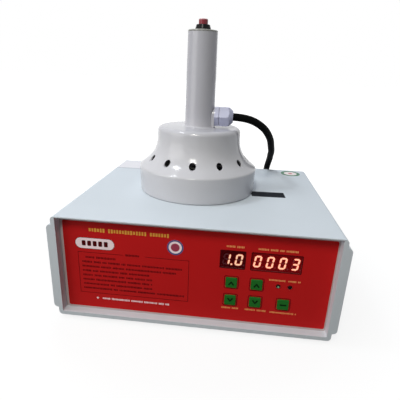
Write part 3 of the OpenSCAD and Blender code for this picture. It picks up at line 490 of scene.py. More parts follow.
def hidden_side_materials():
    """Rear panel, fasteners and what is inside."""
    # Powder-coated sheet: fine orange peel
    surface("Powder coat, grey", "#B3B5BA", 0.5, grain_mm=1.1, grain=0.2)
    # Zinc-plated screws: bright grey metal with a cloudy plating
    surface("Steel, zinc plated", "#B9BBBE", 0.32, metallic=1.0, mottle=0.08, mottle_mm=4,
            grain_mm=0.5)
    # Turned brass: warm yellow metal
    surface("Brass, turned", "#C7A55C", 0.3, metallic=1.0, mottle=0.06, mottle_mm=4,
            grain_mm=0.5, grain=0.04)
    # Extruded aluminium: pale metal, duller than the screws
    surface("Aluminium, extruded", "#C4C7CA", 0.4, metallic=1.0, mottle=0.05, mottle_mm=8,
            grain_mm=0.6, grain=0.1)
    # Enamelled copper: red-brown metal under varnish
    surface("Copper wire, enamelled", "#B8713D", 0.3, metallic=0.8, mottle=0.1, mottle_mm=3,
            grain_mm=0.8, grain=0.1)
    # Solder-masked glass epoxy board: deep green with a lacquer shine
    surface("Circuit board, green", "#1F5A35", 0.35, mottle=0.1, mottle_mm=5, grain_mm=1.0,
            grain=0.08, coat=0.2)
    # Sintered ferrite: dark, stony and dull
    surface("Ferrite, sintered", "#34353A", 0.6, mottle=0.1, mottle_mm=4, grain_mm=0.6, grain=0.15)
    # Capacitors: a smooth shrunk sleeve in dark blue, and cream potting
    surface("Capacitor sleeve, blue", "#27324A", 0.3, mottle=0.06, grain_mm=1.0, grain=0.03)
    surface("Capacitor epoxy, cream", "#C9C7BD", 0.5, mottle=0.05, grain_mm=0.8, grain=0.08)
    # Heat-resistant laminate of the sealing face and the coil former: cream with a rough weave
    surface("Glass laminate, cream", "#D6D3C8", 0.45, mottle=0.05, mottle_mm=9, grain_mm=0.9,
            grain=0.12)


# Geometry Nodes

# Printed rows: least blocks in a word, how often a space is drawn, and the smallest block
WORD_LEAST, SPACE_SHARE, BLOCK_LEAST = 3, 0.15, (0.8, 1.0, 0.72)


def group(name, sockets):
    """New node group: the group, what its input node gives and the key of each input."""
    tree = bpy.data.node_groups.new(name, "GeometryNodeTree")
    keys = {}
    for label, kind in sockets.items():
        socket = tree.interface.new_socket(label, in_out="INPUT", socket_type="NodeSocket" + kind)
        keys[label] = socket.identifier
    tree.interface.new_socket("Geometry", in_out="OUTPUT", socket_type="NodeSocketGeometry")
    return tree, add(tree, "NodeGroupInput").outputs, keys


def printed_row_tree():
    """Node group: a row of short printed blocks with word spaces, along X."""
    tree, given, keys = group("Printed row", {
        "Blocks": "Int", "Pitch": "Float", "Width": "Float", "Height": "Float",
        "Thickness": "Float", "Space share": "Float", "Start": "Vector", "Seed": "Int",
        "Ink": "Material"})
    step = add(tree, "ShaderNodeCombineXYZ", {"X": given["Pitch"]})
    line = add(tree, "GeometryNodeMeshLine", {
        "Count": given["Blocks"], "Start Location": given["Start"], "Offset": step})
    index = add(tree, "GeometryNodeInputIndex")
    space = None
    for back in range(WORD_LEAST, -1, -1):
        place = add(tree, "ShaderNodeMath", {0: index, 1: back}, operation="SUBTRACT")
        drawn = add(tree, "FunctionNodeRandomValue", {
            "Probability": given["Space share"], "Seed": given["Seed"], "ID": place},
            data_type="BOOLEAN")
        space = drawn if space is None else add(
            tree, "FunctionNodeBooleanMath", {0: drawn, 1: space},
            operation="OR" if back else "NIMPLY")
    words = add(tree, "GeometryNodeDeleteGeometry", {"Geometry": line, "Selection": space})
    size = add(tree, "ShaderNodeCombineXYZ", {
        "X": given["Width"], "Y": given["Thickness"], "Z": given["Height"]})
    block = add(tree, "GeometryNodeMeshCube", {"Size": size})
    tall = add(tree, "FunctionNodeRandomValue", {
        "Min": BLOCK_LEAST, "Max": (1.0, 1.0, 1.0), "Seed": given["Seed"]},
        data_type="FLOAT_VECTOR")
    placed = add(tree, "GeometryNodeInstanceOnPoints", {
        "Points": words, "Instance": block, "Scale": tall})
    real = add(tree, "GeometryNodeRealizeInstances", {"Geometry": placed})
    inked = add(tree, "GeometryNodeSetMaterial", {"Geometry": real, "Material": given["Ink"]})
    add(tree, "NodeGroupOutput", {"Geometry": inked})
    return tree, keys


def rib_ring_tree():
    """Node group: ribs set round a circle in the XZ plane, for a knurled grip."""
    tree, given, keys = group("Ring of ribs", {
        "Ribs": "Int", "Radius": "Float", "Width": "Float", "Rise": "Float", "Length": "Float",
        "Middle": "Vector", "Plastic": "Material"})
    circle = add(tree, "GeometryNodeMeshCircle", {
        "Vertices": given["Ribs"], "Radius": given["Radius"]})
    outward = add(tree, "GeometryNodeInputPosition")
    turn = add(tree, "FunctionNodeAlignRotationToVector", {"Vector": outward}, axis="X")
    size = add(tree, "ShaderNodeCombineXYZ", {
        "X": given["Rise"], "Y": given["Width"], "Z": given["Length"]})
    rib = add(tree, "GeometryNodeMeshCube", {"Size": size})
    placed = add(tree, "GeometryNodeInstanceOnPoints", {
        "Points": circle, "Instance": rib, "Rotation": turn})
    real = add(tree, "GeometryNodeRealizeInstances", {"Geometry": placed})
    stood = add(tree, "GeometryNodeTransform", {
        "Geometry": real, "Rotation": (math.radians(90), 0, 0), "Translation": given["Middle"]})
    made = add(tree, "GeometryNodeSetMaterial", {"Geometry": stood, "Material": given["Plastic"]})
    add(tree, "NodeGroupOutput", {"Geometry": made})
    return tree, keys


def grown(tree, keys, values):
    """Plain mesh that a node group gives with these inputs."""
    seed = linked("grown", bpy.data.meshes.new("grown"))
    modifier = seed.modifiers.new("Grow", "NODES")
    modifier.node_group = tree
    for name, value in values.items():
        modifier[keys[name]] = value
    return evaluated(seed)


def joined(meshes, name):
    """One mesh of several."""
    bm = bmesh.new()
    for mesh in meshes:
        bm.from_mesh(mesh)
        bpy.data.meshes.remove(mesh)
    return mesh_of(bm, name)


# Operators


class SEALER_OT_materials(bpy.types.Operator):
    """Makes the materials that the other steps use"""
    bl_idname = "sealer.materials"
    bl_label = "Materials"

    def execute(self, context):
        given = context.scene.sealer_finish
        case_materials(given)
        panel_materials(given)
        hidden_side_materials()
        return {"FINISHED"}


SENSOR_MM, CLIP = 36.0, (0.01, 50.0)


class SEALER_OT_camera(bpy.types.Operator):
    """Stands the camera where the photograph was taken"""
    bl_idname = "sealer.camera"
    bl_label = "Camera"

    def execute(self, context):
        given = context.scene.sealer_camera
        a, e, r = given.azimuth, given.elevation, given.roll
        back = Vector((math.sin(a) * math.cos(e), -math.cos(a) * math.cos(e), math.sin(e)))
        right = (-back).cross(Vector((0, 0, 1))).normalized()
        up = right.cross(-back)
        right, up = (right * math.cos(r) + up * math.sin(r),
                     up * math.cos(r) - right * math.sin(r))
        data = bpy.data.cameras.new("Camera")
        data.lens = given.lens
        data.sensor_width = SENSOR_MM
        data.clip_start, data.clip_end = CLIP
        camera = linked("Camera", data)
        turn = Matrix((right, up, back)).transposed().to_4x4()
        camera.matrix_world = Matrix.Translation(given.place) @ turn
        context.scene.camera = camera
        return {"FINISHED"}


# Route of the lead in millimetres: from the head through the air and down to the coil, then from
# the coil up to the rear panel
LEAD_FALL = [(39, 8, 215), (53, 13, 212), (64, 20, 205), (71, 27, 199), (77, 37, 190),
             (81, 48, 182), (83, 60, 174), (85, 71, 167), (87, 83, 160), (87, 95, 153),
             (88, 107, 146), (88, 119, 138), (87, 129, 128), (87, 138, 118), (87, 147, 107),
             (86, 154, 95), (86, 160, 83), (86, 166, 71), (86, 173, 59), (86, 181, 48),
             (86, 191, 39), (86, 203, 32)]
LEAD_RISE = [(-14, 202, 7), (-14, 191, 12), (-14, 181, 20), (-14, 173, 30), (-14, 163, 38),
             (-14, 151, 43)]
# Middle of the coil, and points of the route on each of its turns
LEAD_COIL, TURN_POINTS = (0.036, 0.215), 24
# Strap round the coil; its gap keeps it off the lead and the floor
TIE_WIDE, TIE_THICK, TIE_CORNER, TIE_GAP = 8 * MM, 0.4 * MM, 4 * MM, 0.05 * MM


class SEALER_OT_lead(bpy.types.Operator):
    """Lays the lead from the head over the rear edge, through its coil and into the rear panel"""
    bl_idname = "sealer.lead"
    bl_label = "Lead"

    def execute(self, context):
        given = context.scene.sealer_lead
        leave = (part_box("head_gland_nut")[1].x, *middle("head_gland_nut")[1:])
        x, _, z = middle("rear_gland_nut")
        enter = (x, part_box("rear_gland_nut")[1].y, z)
        coil = []
        count = int(TURN_POINTS * given.turns)
        for i in range(count + 1):
            a = 2 * math.pi * given.turns * i / count
            drop = (given.coil_high - given.coil_low) * i / count
            coil.append((LEAD_COIL[0] + given.coil_radius * math.cos(a),
                         LEAD_COIL[1] + given.coil_radius * math.sin(a), given.coil_high - drop))
        fall, rise = ([[v * MM for v in point] for point in route]
                      for route in (LEAD_FALL, LEAD_RISE))
        points = [leave, *fall, *coil, *rise, enter]
        curve = bpy.data.curves.new("lead", "CURVE")
        curve.dimensions = "3D"
        curve.resolution_u = 8
        curve.bevel_depth = given.diameter / 2
        curve.bevel_resolution = 6
        curve.use_fill_caps = True
        spline = curve.splines.new("NURBS")
        spline.points.add(len(points) - 1)
        for knot, point in zip(spline.points, points):
            knot.co = (*point, 1.0)
        spline.order_u = 4
        spline.use_endpoint_u = True
        lead = linked("lead", curve)
        curve.materials.append(MATERIALS["PVC, flexible black"])
        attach(lead, ROOT)
        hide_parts("lead_upper", "lead_coil", "lead_lower")
        tie = self.tie(given)
        return {"FINISHED"}

    def tie(self, given):
        """Flat strap round the turns on the far side of the coil."""
        wide = given.diameter + 2 * TIE_GAP
        high = given.coil_high + given.diameter / 2
        outer, inner = (rounded_rectangle(0, high / 2, wide + 2 * t, high + 2 * t, TIE_CORNER + t)
                        for t in (TIE_THICK, 0))

        def place(x, y, h):
            return (LEAD_COIL[0] + h - TIE_WIDE / 2, LEAD_COIL[1] + given.coil_radius + x,
                    max(y, TIE_GAP) + TIE_GAP)

        mesh = bands([(outer, inner)], place, TIE_WIDE)
        return finish_piece(mesh, "lead_tie", "Polyamide, black", slot="black_plastic", smooth=40)


class SEALER_OT_case(bpy.types.Operator):
    """Finishes the case shells, feet and screws"""
    bl_idname = "sealer.case"
    bl_label = "Case"

    def execute(self, context):
        shell = "ABS, satin pale grey"
        refinish("upper_case", CASE_EDGE, "case_top_shell", shell, "upper_plastic")
        refinish("lower_case", CASE_EDGE, "case_bottom_shell", shell, "lower_plastic")
        refinish("feet", CASE_EDGE, "rubber_feet", "Rubber, moulded black", "foot_rubber")
        dress("Steel, zinc plated", "case_screws")
        return {"FINISHED"}


class SEALER_OT_panel(bpy.types.Operator):
    """Finishes the front plate, film, windows and lamps"""
    bl_idname = "sealer.panel"
    bl_label = "Front panel"

    def execute(self, context):
        dress("Plate, pale grey", "front_panel")
        dress("Polyester film, red", "panel_film")
        dress("Acrylic, smoked red", "time_window")
        # The count window's lighter red is a painted glow of its lit bars
        dress("Acrylic, red window", "count_window")
        dress("Display epoxy, dark", "time_display", "count_display")
        dress("Lamp epoxy, lit green", "led_working")
        dress("Lamp epoxy, unlit", "led_alarm")
        return {"FINISHED"}


# All print is in millimetres from the panel's centre.
# Printed rows by piece, with their ink: x, height above the centre, length, letter height
ROWS = {
    "heading_row": ("yellow", [(-112.6, 42.8, 88.0, 4.6)]),
    "caption_rows": ("amber", [
        (31.4, 37.0, 19.0, 2.4), (63.5, 36.6, 42.5, 2.4), (77.4, 2.6, 18.5, 2.2),
        (97.0, 2.6, 14.0, 2.2), (30.3, -36.0, 21.0, 2.2), (55.3, -36.0, 23.0, 2.2),
        (81.6, -36.4, 29.0, 2.2)]),
    "white_rows": ("white", [(-101.5, -39.6, 76.0, 2.3)]),
    "red_rows": ("dark red", [
        (-118.0, 10.5, 34.0, 2.6), (-122.0, 5.0, 110.0, 2.5), (-122.0, -0.4, 103.0, 2.5),
        (-122.0, -5.8, 74.0, 2.5), (-122.0, -11.2, 78.0, 2.5), (-122.0, -16.6, 78.0, 2.5),
        (-122.0, -22.0, 78.0, 2.5), (-122.0, -27.4, 112.0, 2.5), (-74.0, 16.5, 18.0, 2.6)])}
# Pitch of a row's blocks as a share of their height, and their width as a share of the pitch
PITCH_SHARE, BLOCK_SHARE = 0.64, 0.74
# Frame of the red rows: its box, the break in its top line and its line width
FRAME_BOX, FRAME_BREAK, FRAME_LINE = (-126.0, -33.5, -6.0, 16.5), (-77.0, -53.0), 0.5
# Pill: middle and size, its rim, and how far its round ends stay under a half circle
PILL, PILL_RIM, PILL_EASE = (-106.7, 27.0, 43.0, 13.2), 0.5, 0.01
PILL_MARKS, MARK_STEP, MARK_SIZE, MARK_CORNER = 5, 6.0, (4.2, 6.0), 1.0
# Badge: middle and radius, its rim and the radius of its dot
BADGE, BADGE_RIM, BADGE_DOT = (-20.9, 30.4, 8.6), 1.7, 4.6
# Diamond before the white row: middle and size
DIAMOND = (-107.0, -39.6, 3.0)
# Keys: the body each rides on, and the way its arrow points
KEYS = {"key_time_up": ("time_up", 1), "key_time_down": ("time_down", -1),
        "key_power_up": ("power_up", 1), "key_power_down": ("power_down", -1),
        "key_reset": ("reset", 0)}
# Nodes with a dark line round them, how far it reaches inward and outward, and its corner; round
# the keys the line is painted shade
FRAMED = [("time_window", 0.5, 0.4), ("count_window", 0.5, 0.4),
          *((key, 0.0, 0.6) for key in KEYS)]
FRAMED_CORNER = 1.0


class SEALER_OT_print(bpy.types.Operator):
    """Prints the film: plain rows, frame lines and bare badges"""
    bl_idname = "sealer.print"
    bl_label = "Panel print"

    def execute(self, context):
        given = context.scene.sealer_print
        ink = given.ink / MM
        tree, keys = printed_row_tree()
        for name, (colour, rows) in ROWS.items():
            self.rows(tree, keys, given, rows, name, colour)
        x0, y0, x1, y1 = FRAME_BOX
        t = FRAME_LINE
        lines = [(x0, y0, x1, y0 + t), (x0, y0 + t, x0 + t, y1 - t), (x1 - t, y0 + t, x1, y1 - t),
                 (x0, y1 - t, FRAME_BREAK[0], y1), (FRAME_BREAK[1], y1 - t, x1, y1)]
        boxes = [[(a, b), (c, b), (c, d), (a, d)] for a, b, c, d in lines]
        x, y, size = DIAMOND
        diamond = [(x + s * size / 2, y + c * size / 2)
                   for s, c in ((-1, 0), (0, -1), (1, 0), (0, 1))]
        marks = [rounded_rectangle(PILL[0] + (i - (PILL_MARKS - 1) / 2) * MARK_STEP, PILL[1],
                                   *MARK_SIZE, MARK_CORNER) for i in range(PILL_MARKS)]
        pill, pill_inside = (
            rounded_rectangle(PILL[0], PILL[1], PILL[2] - 2 * rim, PILL[3] - 2 * rim,
                              PILL[3] / 2 - rim - PILL_EASE) for rim in (0, PILL_RIM))
        badge, badge_inside, dot = (
            ring_points(BADGE[0], BADGE[1], r) for r in (BADGE[2], BADGE[2] - BADGE_RIM, BADGE_DOT))
        for build, shapes, lift, name, colour in (
                (prisms, boxes, 0, "instruction_frame", "dark red"),
                (prisms, [pill, badge, diamond], 0, "bare_badges", "white"),
                (bands, [(badge, badge_inside)], ink, "badge_rim", "blue"),
                (prisms, marks, ink, "pill_marks", "maroon"),
                (prisms, [dot], ink, "badge_dot", "rose"),
                (bands, [(pill, pill_inside)], ink, "pill_rim", "dark red"),
                (bands, self.frames(), ink, "dark_frames", "maroon")):
            printed(build(shapes, facing(*PANEL_MID, lift), ink), name, colour)
        return {"FINISHED"}

    def frames(self):
        """Outlines of the dark lines round the windows, and of the painted shade round the keys."""
        rings = []
        for node, inward, outward in FRAMED:
            low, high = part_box(node)
            x, up = ((low + high) / 2 - PANEL_MID).xz / MM
            w, h = (high - low).xz / MM
            rings.append([rounded_rectangle(x, up, w + 2 * grow, h + 2 * grow, FRAMED_CORNER + grow)
                          for grow in (outward, -inward)])
        return rings

    def rows(self, tree, keys, given, rows, name, colour):
        """Grows one mesh of printed rows."""
        place = facing(*PANEL_MID, given.ink / MM / 2)
        meshes = []
        for k, (x, up, long, high) in enumerate(rows):
            pitch = PITCH_SHARE * high
            meshes.append(grown(tree, keys, {
                "Blocks": int(long / pitch), "Pitch": pitch * MM,
                "Width": BLOCK_SHARE * pitch * MM, "Height": high * MM, "Thickness": given.ink,
                "Space share": SPACE_SHARE, "Start": place(x + pitch / 2, up, 0),
                "Seed": given.row_seed + k, "Ink": MATERIALS["Film ink, " + colour]}))
        printed(joined(meshes, name), name, colour)


# Bars of a seven-bar digit, and the bars that each figure lights
BARS = "abcdefg"
FIGURES = {"0": "abcdef", "1": "bc", "2": "abged", "3": "abgcd", "4": "fgbc", "5": "afgcd",
           "6": "afgedc", "7": "abc", "8": "abcdefg", "9": "abcdfg"}
# In millimetres: half a digit's width, half a bar's width, the gap at a bar's end, and where the
# point is, from the digit's middle and foot
DIGIT_HALF, BAR_HALF, BAR_GAP, POINT_PLACE, POINT_STEPS = 3.6, 0.85, 0.12, (5.2, 0.8), 16
# Layers in millimetres: lift off the face, thickness, spread of a bar, radius of a point
LAYERS = {"unlit_bars": (0.02, 0.06, 0.0, 0.95, "Display bar, unlit"),
          "bar_haze": (0.09, 0.02, 1.4, 1.8, "Display haze"),
          "bar_glow": (0.12, 0.02, 0.4, 1.3, "Display glow"),
          "lit_bars": (0.16, 0.08, 0.0, 0.95, "Display bar, lit")}
UNLIT, LIT = ("unlit_bars",), ("bar_haze", "bar_glow", "lit_bars")


class SEALER_OT_displays(bpy.types.Operator):
    """Builds the bars of the two digit displays"""
    bl_idname = "sealer.displays"
    bl_label = "Digit displays"

    def execute(self, context):
        given = context.scene.sealer_print
        shapes = {name: [] for name in LAYERS}
        for node, text, tall in (("time_display", given.time_text, given.time_height),
                                 ("count_display", given.count_text, given.count_height)):
            x, _, z = (value / MM for value in middle(node))
            digits = [c for c in text if c in FIGURES]
            points = [text[i + 1:i + 2] == "." for i, c in enumerate(text) if c in FIGURES]
            for k, (figure, point) in enumerate(zip(digits, points)):
                cx = x + (k - (len(digits) - 1) / 2) * given.digit_pitch / MM
                spot = (cx + POINT_PLACE[0], z - tall / MM / 2 + POINT_PLACE[1])
                for bar in BARS:
                    for name in LIT if bar in FIGURES[figure] else UNLIT:
                        shapes[name].append(self.bar(given, tall, cx, z, bar, LAYERS[name][2]))
                for name in LIT if point else UNLIT:
                    shapes[name].append(ring_points(*spot, LAYERS[name][3], POINT_STEPS))
        face = front("time_display")[1]
        for name, (lift, thick, _, _, material) in LAYERS.items():
            mesh = prisms(shapes[name], facing(0, face, 0, lift), thick)
            finish_piece(mesh, name, material, slot="display_black")
        return {"FINISHED"}

    def bar(self, given, tall, cx, cz, bar, spread):
        """Outline of one bar: a long hexagon, leaning with the digit."""
        high, wide, half = tall / MM / 2, DIGIT_HALF, BAR_HALF
        reach = half + spread
        out, up = wide - half, high / 2 - half / 4
        x, z = {"a": (0, high - half), "g": (0, 0), "d": (0, half - high), "b": (out, up),
                "c": (out, -up), "f": (-out, up), "e": (-out, -up)}[bar]
        upright = bar in "bcef"
        run = (high / 2 - half / 2 if upright else out) - BAR_GAP + spread
        shape = [(-run, 0), (reach - run, reach), (run - reach, reach), (run, 0),
                 (run - reach, -reach), (reach - run, -reach)]
        if upright:
            shape = [(q, p) for p, q in shape]
        lean = math.tan(given.digit_slant)
        return [(cx + x + p + (z + q) * lean, cz + z + q) for p, q in shape]


# Signs on the keys in millimetres: reach to each side, rise and line width
SIGN_REACH, SIGN_RISE, SIGN_LINE = 3.3, 4.2, 1.7
# Line widths down from an arrow's tip, and in and down at the ends of its arms
TIP_DROP, ARM_IN, ARM_DOWN = 1.4, 0.8, 0.6


class SEALER_OT_keys(bpy.types.Operator):
    """Finishes the five keys and prints an arrow head or a dash on each"""
    bl_idname = "sealer.keys"
    bl_label = "Keys"

    def execute(self, context):
        ink = context.scene.sealer_print.ink / MM
        r, s, t = SIGN_REACH, SIGN_RISE / 2, SIGN_LINE
        for node, (body, way) in KEYS.items():
            refinish(node, KEY_EDGE, node + "_cap", "ABS, green key", "key_green", body)
            place = facing(*front(node))
            if way:
                marks = [[(side * r, -way * s), (0, way * s), (0, way * (s - TIP_DROP * t)),
                          (side * (r - ARM_IN * t), -way * (s + ARM_DOWN * t))]
                         for side in (-1, 1)]
            else:
                marks = [[(-r, -t / 2), (r, -t / 2), (r, t / 2), (-r, t / 2)]]
            finish_piece(prisms(marks, place, ink), node + "_sign", "Key ink, dark green",
                         body=body, slot="key_green")
        return {"FINISHED"}


# Plates on the case top in millimetres. Label: middle, size, turn and corner; paper: middle, size
# and edge; sticker: middle and the radii of its ring, its middle and its dot.
LABEL = ((79.4, -5.5), (42.0, 19.7), math.radians(2.9), 0.8)
PAPER = ((-114.0, 100.0), (60.0, 48.0), 5.0)
STICKER = ((121.7, 108.0), (14.5, 9.8, 3.4))
PLATE_RISE = 0.1


class SEALER_OT_plates(bpy.types.Operator):
    """Lays the bare labels and the round sticker on the case top"""
    bl_idname = "sealer.plates"
    bl_label = "Bare plates"

    def execute(self, context):
        (cx, cy), (w, h), turn, corner = LABEL
        c, s = math.cos(turn), math.sin(turn)
        strip = [(cx + x * c - y * s, cy + x * s + y * c)
                 for x, y in rounded_rectangle(0, 0, w, h, corner, steps=4)]
        (cx, cy), (w, h), line = PAPER
        low, edge = cy - h / 2, cy - h / 2 + line
        sheet, border = ([(cx - w / 2, a), (cx + w / 2, a), (cx + w / 2, b), (cx - w / 2, b)]
                         for a, b in ((edge, cy + h / 2), (low, edge)))
        outer, inner, dot = (ring_points(*STICKER[0], r) for r in STICKER[1])

        def flat(x, y, z):
            return (x * MM, y * MM, CASE_TOP + z * MM)

        for build, shape, name, material, slot in (
                (prisms, strip, "label_strip", "Label foil, black", "black_plastic"),
                (prisms, sheet, "paper_label", "Label paper, white", "upper_plastic"),
                (prisms, border, "paper_label_edge", "Label edge, grey", "upper_plastic"),
                (bands, (inner, dot), "sticker_middle", "Sticker paper, pale", "upper_plastic"),
                (bands, (outer, inner), "sticker_ring", "Sticker ink, green", "upper_plastic"),
                (prisms, dot, "sticker_dot", "Sticker ink, red", "upper_plastic")):
            finish_piece(build([shape], flat, PLATE_RISE), name, material, slot=slot)
        return {"FINISHED"}


class SEALER_OT_head(bpy.types.Operator):
    """Finishes the sealing head, its handle, trigger and lead gland"""
    bl_idname = "sealer.head"
    bl_label = "Sealing head"

    def execute(self, context):
        refinish("head_shell", HEAD_EDGE, "head_moulding", "ABS, polished grey", "head_plastic")
        refinish("handle_cap", CAP_EDGE, "handle_end_cap", "ABS, olive grey", "cap_plastic")
        refinish("trigger_body", BEZEL_EDGE, "trigger_bezel", "Polycarbonate, gloss black",
                 "trigger_black")
        refinish("trigger_button", BUTTON_EDGE, "trigger_cap", "Acrylic, red", "trigger_red",
                 "trigger")
        dress("Nylon, pale violet grey", "head_gland_body", "head_gland_nut", "rear_gland_body",
              "rear_gland_nut", "rear_gland_locknut")
        dress("Rubber, moulded black", "head_gland_seal", "rear_gland_seal")
        dress("Glass laminate, cream", "base_plate", "coil_former")
        dress("Copper wire, enamelled", "induction_coil")
        dress("Ferrite, sintered", "ferrite_bars")
        dress("Steel, zinc plated", "base_screws", "trigger_nut")
        return {"FINISHED"}


# Grip of the fuse cap: number of ribs, their width, rise and length, and how far from its end
GRIP_RIBS, RIB_WIDE, RIB_RISE, RIB_LONG, GRIP_INSET = 28, 0.7 * MM, 0.6 * MM, 4.6 * MM, 1.0 * MM


class SEALER_OT_rear(bpy.types.Operator):
    """Finishes the rear panel, fan and sockets, with a ribbed grip on the fuse cap"""
    bl_idname = "sealer.rear"
    bl_label = "Rear panel"

    def execute(self, context):
        plastic = "Polyamide, black"
        dress("Powder coat, grey", "rear_panel")
        dress(plastic, "fan_frame", "fan_rotor", "fan_guard", "mains_inlet", "switch_body",
              "fuse_holder", "fuse_cap", "power_rocker")
        dress("Steel, zinc plated", "fan_screws")
        dress("Brass, turned", "inlet_blades")
        low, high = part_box("fuse_cap")
        x, _, z = middle("fuse_cap")
        mesh = grown(*rib_ring_tree(), {
            "Ribs": GRIP_RIBS, "Radius": (high.x - low.x) / 2, "Width": RIB_WIDE,
            "Rise": RIB_RISE, "Length": RIB_LONG,
            "Middle": (x, high.y - GRIP_INSET - RIB_LONG / 2, z), "Plastic": MATERIALS[plastic]})
        finish_piece(mesh, "fuse_cap_grip", plastic, body="fuse_plug", slot="switch_black")
        return {"FINISHED"}


class SEALER_OT_inside(bpy.types.Operator):
    """Finishes the boards and power parts inside the case"""
    bl_idname = "sealer.inside"
    bl_label = "Inside parts"

    def execute(self, context):
        dress("Circuit board, green", "control_board", "power_board")
        dress("Brass, turned", "board_spacers")
        dress("Steel, zinc plated", "board_screws", "power_board_screws")
        dress("Polyamide, black", "tact_switches")
        dress("Aluminium, extruded", "heatsink")
        dress("Capacitor sleeve, blue", "bulk_capacitor")
        dress("Capacitor epoxy, cream", "resonant_capacitors")
        dress("Ferrite, sintered", "transformer_core")
        dress("Copper wire, enamelled", "transformer_winding")
        return {"FINISHED"}


# Lamps by their power setting: place, size, colour and whether gloss mirrors them
LAMPS = {"overhead": ((-0.4, 0.1, 1.5), (1.4, 1.4), "#E6EFFF", True),
         "window": ((-0.74, -0.15, 1.5), (0.24, 0.24), "#F6FAFF", True),
         "front": ((-0.17, -0.93, 1.22), (0.3, 0.42), "#FFFDF4", True),
         "fill": ((1.2, 0.9, 0.9), (1.0, 1.0), "#F4F8FF", False),
         "rear": ((-0.6, 1.4, 1.3), (0.9, 0.9), "#F4F8FF", False),
         "side": ((-1.1, -0.75, 0.55), (1.0, 1.1), "#FFFDFA", True)}
LAMP_AIM = Vector((0, 0, 0.12))
SKY_COLOUR, WHITE = (0.97, 0.98, 1.0, 1), (1, 1, 1, 1)
# Floor: half its side, where it fades to white and by what shares, the strength of that white, and
# its tone to bounced light and to the eye
FLOOR_HALF, FADE_REACH, FADE_SHARE = 12.0, (0.2, 0.7), (0.7, 1.0)
FLOOR_WHITE, FLOOR_TONE = 1.22, (0.12, 0.5)


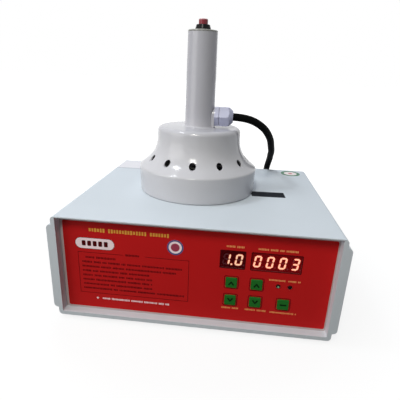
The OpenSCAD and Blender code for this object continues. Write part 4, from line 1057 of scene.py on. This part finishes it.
class SEALER_OT_stage(bpy.types.Operator):
    """Sets up the floor, the white surround and the soft lights"""
    bl_idname = "sealer.stage"
    bl_label = "Stage"

    def execute(self, context):
        given = context.scene.sealer_stage
        context.scene.view_settings.view_transform = "Standard"
        self.surround(context.scene, given)
        self.floor()
        for name, lamp in LAMPS.items():
            self.lamp(name.capitalize(), getattr(given, name), *lamp)
        return {"FINISHED"}

    def surround(self, scene, given):
        """White to the camera and in reflections, an even soft light to everything else."""
        scene.world = bpy.data.worlds.new("Studio")
        tree = blank(scene.world)
        soft = add(tree, "ShaderNodeBackground", {"Color": SKY_COLOUR, "Strength": given.sky})
        white = add(tree, "ShaderNodeBackground", {"Color": WHITE, "Strength": 1.0})
        mixed = add(tree, "ShaderNodeMixShader", {0: self.seen(tree), 1: soft, 2: white})
        add(tree, "ShaderNodeOutputWorld", {"Surface": mixed})

    def seen(self, tree):
        """1 for what the camera sees, straight, mirrored or through glass, 0 for other light."""
        path = add(tree, "ShaderNodeLightPath").outputs
        mirrored = add(tree, "ShaderNodeMath", {
            0: path["Is Camera Ray"], 1: path["Is Glossy Ray"]}, operation="MAXIMUM")
        return add(tree, "ShaderNodeMath", {0: mirrored, 1: path["Is Transmission Ray"]},
                   operation="MAXIMUM")

    def floor(self):
        """Pale floor that keeps a soft shadow."""
        mesh = bpy.data.meshes.new("floor")
        s = FLOOR_HALF
        mesh.from_pydata([(-s, -s, 0), (s, -s, 0), (s, s, 0), (-s, s, 0)], [], [(0, 1, 2, 3)])
        floor = linked("floor", mesh)
        material = bpy.data.materials.new("Studio floor, white")
        tree = blank(material)
        place = add(tree, "ShaderNodeTexCoord").outputs["Object"]
        reach = add(tree, "ShaderNodeVectorMath", {0: place}, operation="LENGTH")
        fade = add(tree, "ShaderNodeMapRange", {
            "Value": reach, "From Min": FADE_REACH[0], "From Max": FADE_REACH[1],
            "To Min": FADE_SHARE[0], "To Max": FADE_SHARE[1]})
        seen = self.seen(tree)
        share = add(tree, "ShaderNodeMath", {0: seen, 1: fade}, operation="MULTIPLY")
        tone = add(tree, "ShaderNodeMapRange", {
            "Value": seen, "To Min": FLOOR_TONE[0], "To Max": FLOOR_TONE[1]})
        paint = add(tree, "ShaderNodeBsdfDiffuse", {"Color": tone})
        bright = add(tree, "ShaderNodeEmission", {"Color": WHITE, "Strength": FLOOR_WHITE})
        mixed = add(tree, "ShaderNodeMixShader", {0: share, 1: paint, 2: bright})
        add(tree, "ShaderNodeOutputMaterial", {"Surface": mixed})
        mesh.materials.append(material)

    def lamp(self, name, watts, place, size, colour, mirrored):
        """Rectangular soft light aimed at the object's middle, and whether gloss mirrors it."""
        data = bpy.data.lights.new(name, "AREA")
        data.shape = "RECTANGLE"
        data.size, data.size_y = size
        data.energy = watts
        data.color = linear(colour)[:3]
        lamp = linked(name, data)
        lamp.location = place
        lamp.visible_glossy = mirrored
        lamp.rotation_mode = "QUATERNION"
        lamp.rotation_quaternion = (LAMP_AIM - Vector(place)).to_track_quat("-Z", "Y")


class SEALER_PT_sidebar(bpy.types.Panel):
    """Lists the sealer's steps and settings"""
    bl_idname = "SEALER_PT_sidebar"
    bl_label = "Induction Cap Sealer"
    bl_space_type = "VIEW_3D"
    bl_region_type = "UI"
    bl_category = "Sealer"

    def draw(self, context):
        for operator in STEPS:
            self.layout.operator(operator.bl_idname)
        for group_name, settings in SETTINGS.items():
            box = self.layout.box()
            for name in settings.__annotations__:
                box.prop(getattr(context.scene, group_name), name)


STEPS = (SEALER_OT_materials, SEALER_OT_camera, SEALER_OT_lead, SEALER_OT_case, SEALER_OT_panel,
         SEALER_OT_print, SEALER_OT_displays, SEALER_OT_keys, SEALER_OT_plates, SEALER_OT_head,
         SEALER_OT_rear, SEALER_OT_inside, SEALER_OT_stage)
SETTINGS = {"sealer_camera": CameraSettings, "sealer_lead": LeadSettings,
            "sealer_print": PrintSettings, "sealer_finish": FinishSettings,
            "sealer_stage": StageSettings}


def register():
    """Registers the settings, operators and panel."""
    for cls in (*SETTINGS.values(), *STEPS, SEALER_PT_sidebar):
        bpy.utils.register_class(cls)
    for name, cls in SETTINGS.items():
        setattr(bpy.types.Scene, name, PointerProperty(type=cls))


def unregister():
    """Takes them out again."""
    for name in SETTINGS:
        delattr(bpy.types.Scene, name)
    for cls in reversed((*SETTINGS.values(), *STEPS, SEALER_PT_sidebar)):
        bpy.utils.unregister_class(cls)


def main():
    """Makes every piece in order."""
    register()
    for operator in STEPS:
        group_name, name = operator.bl_idname.split(".")
        getattr(getattr(bpy.ops, group_name), name)()


if __name__ == "__main__":
    main()
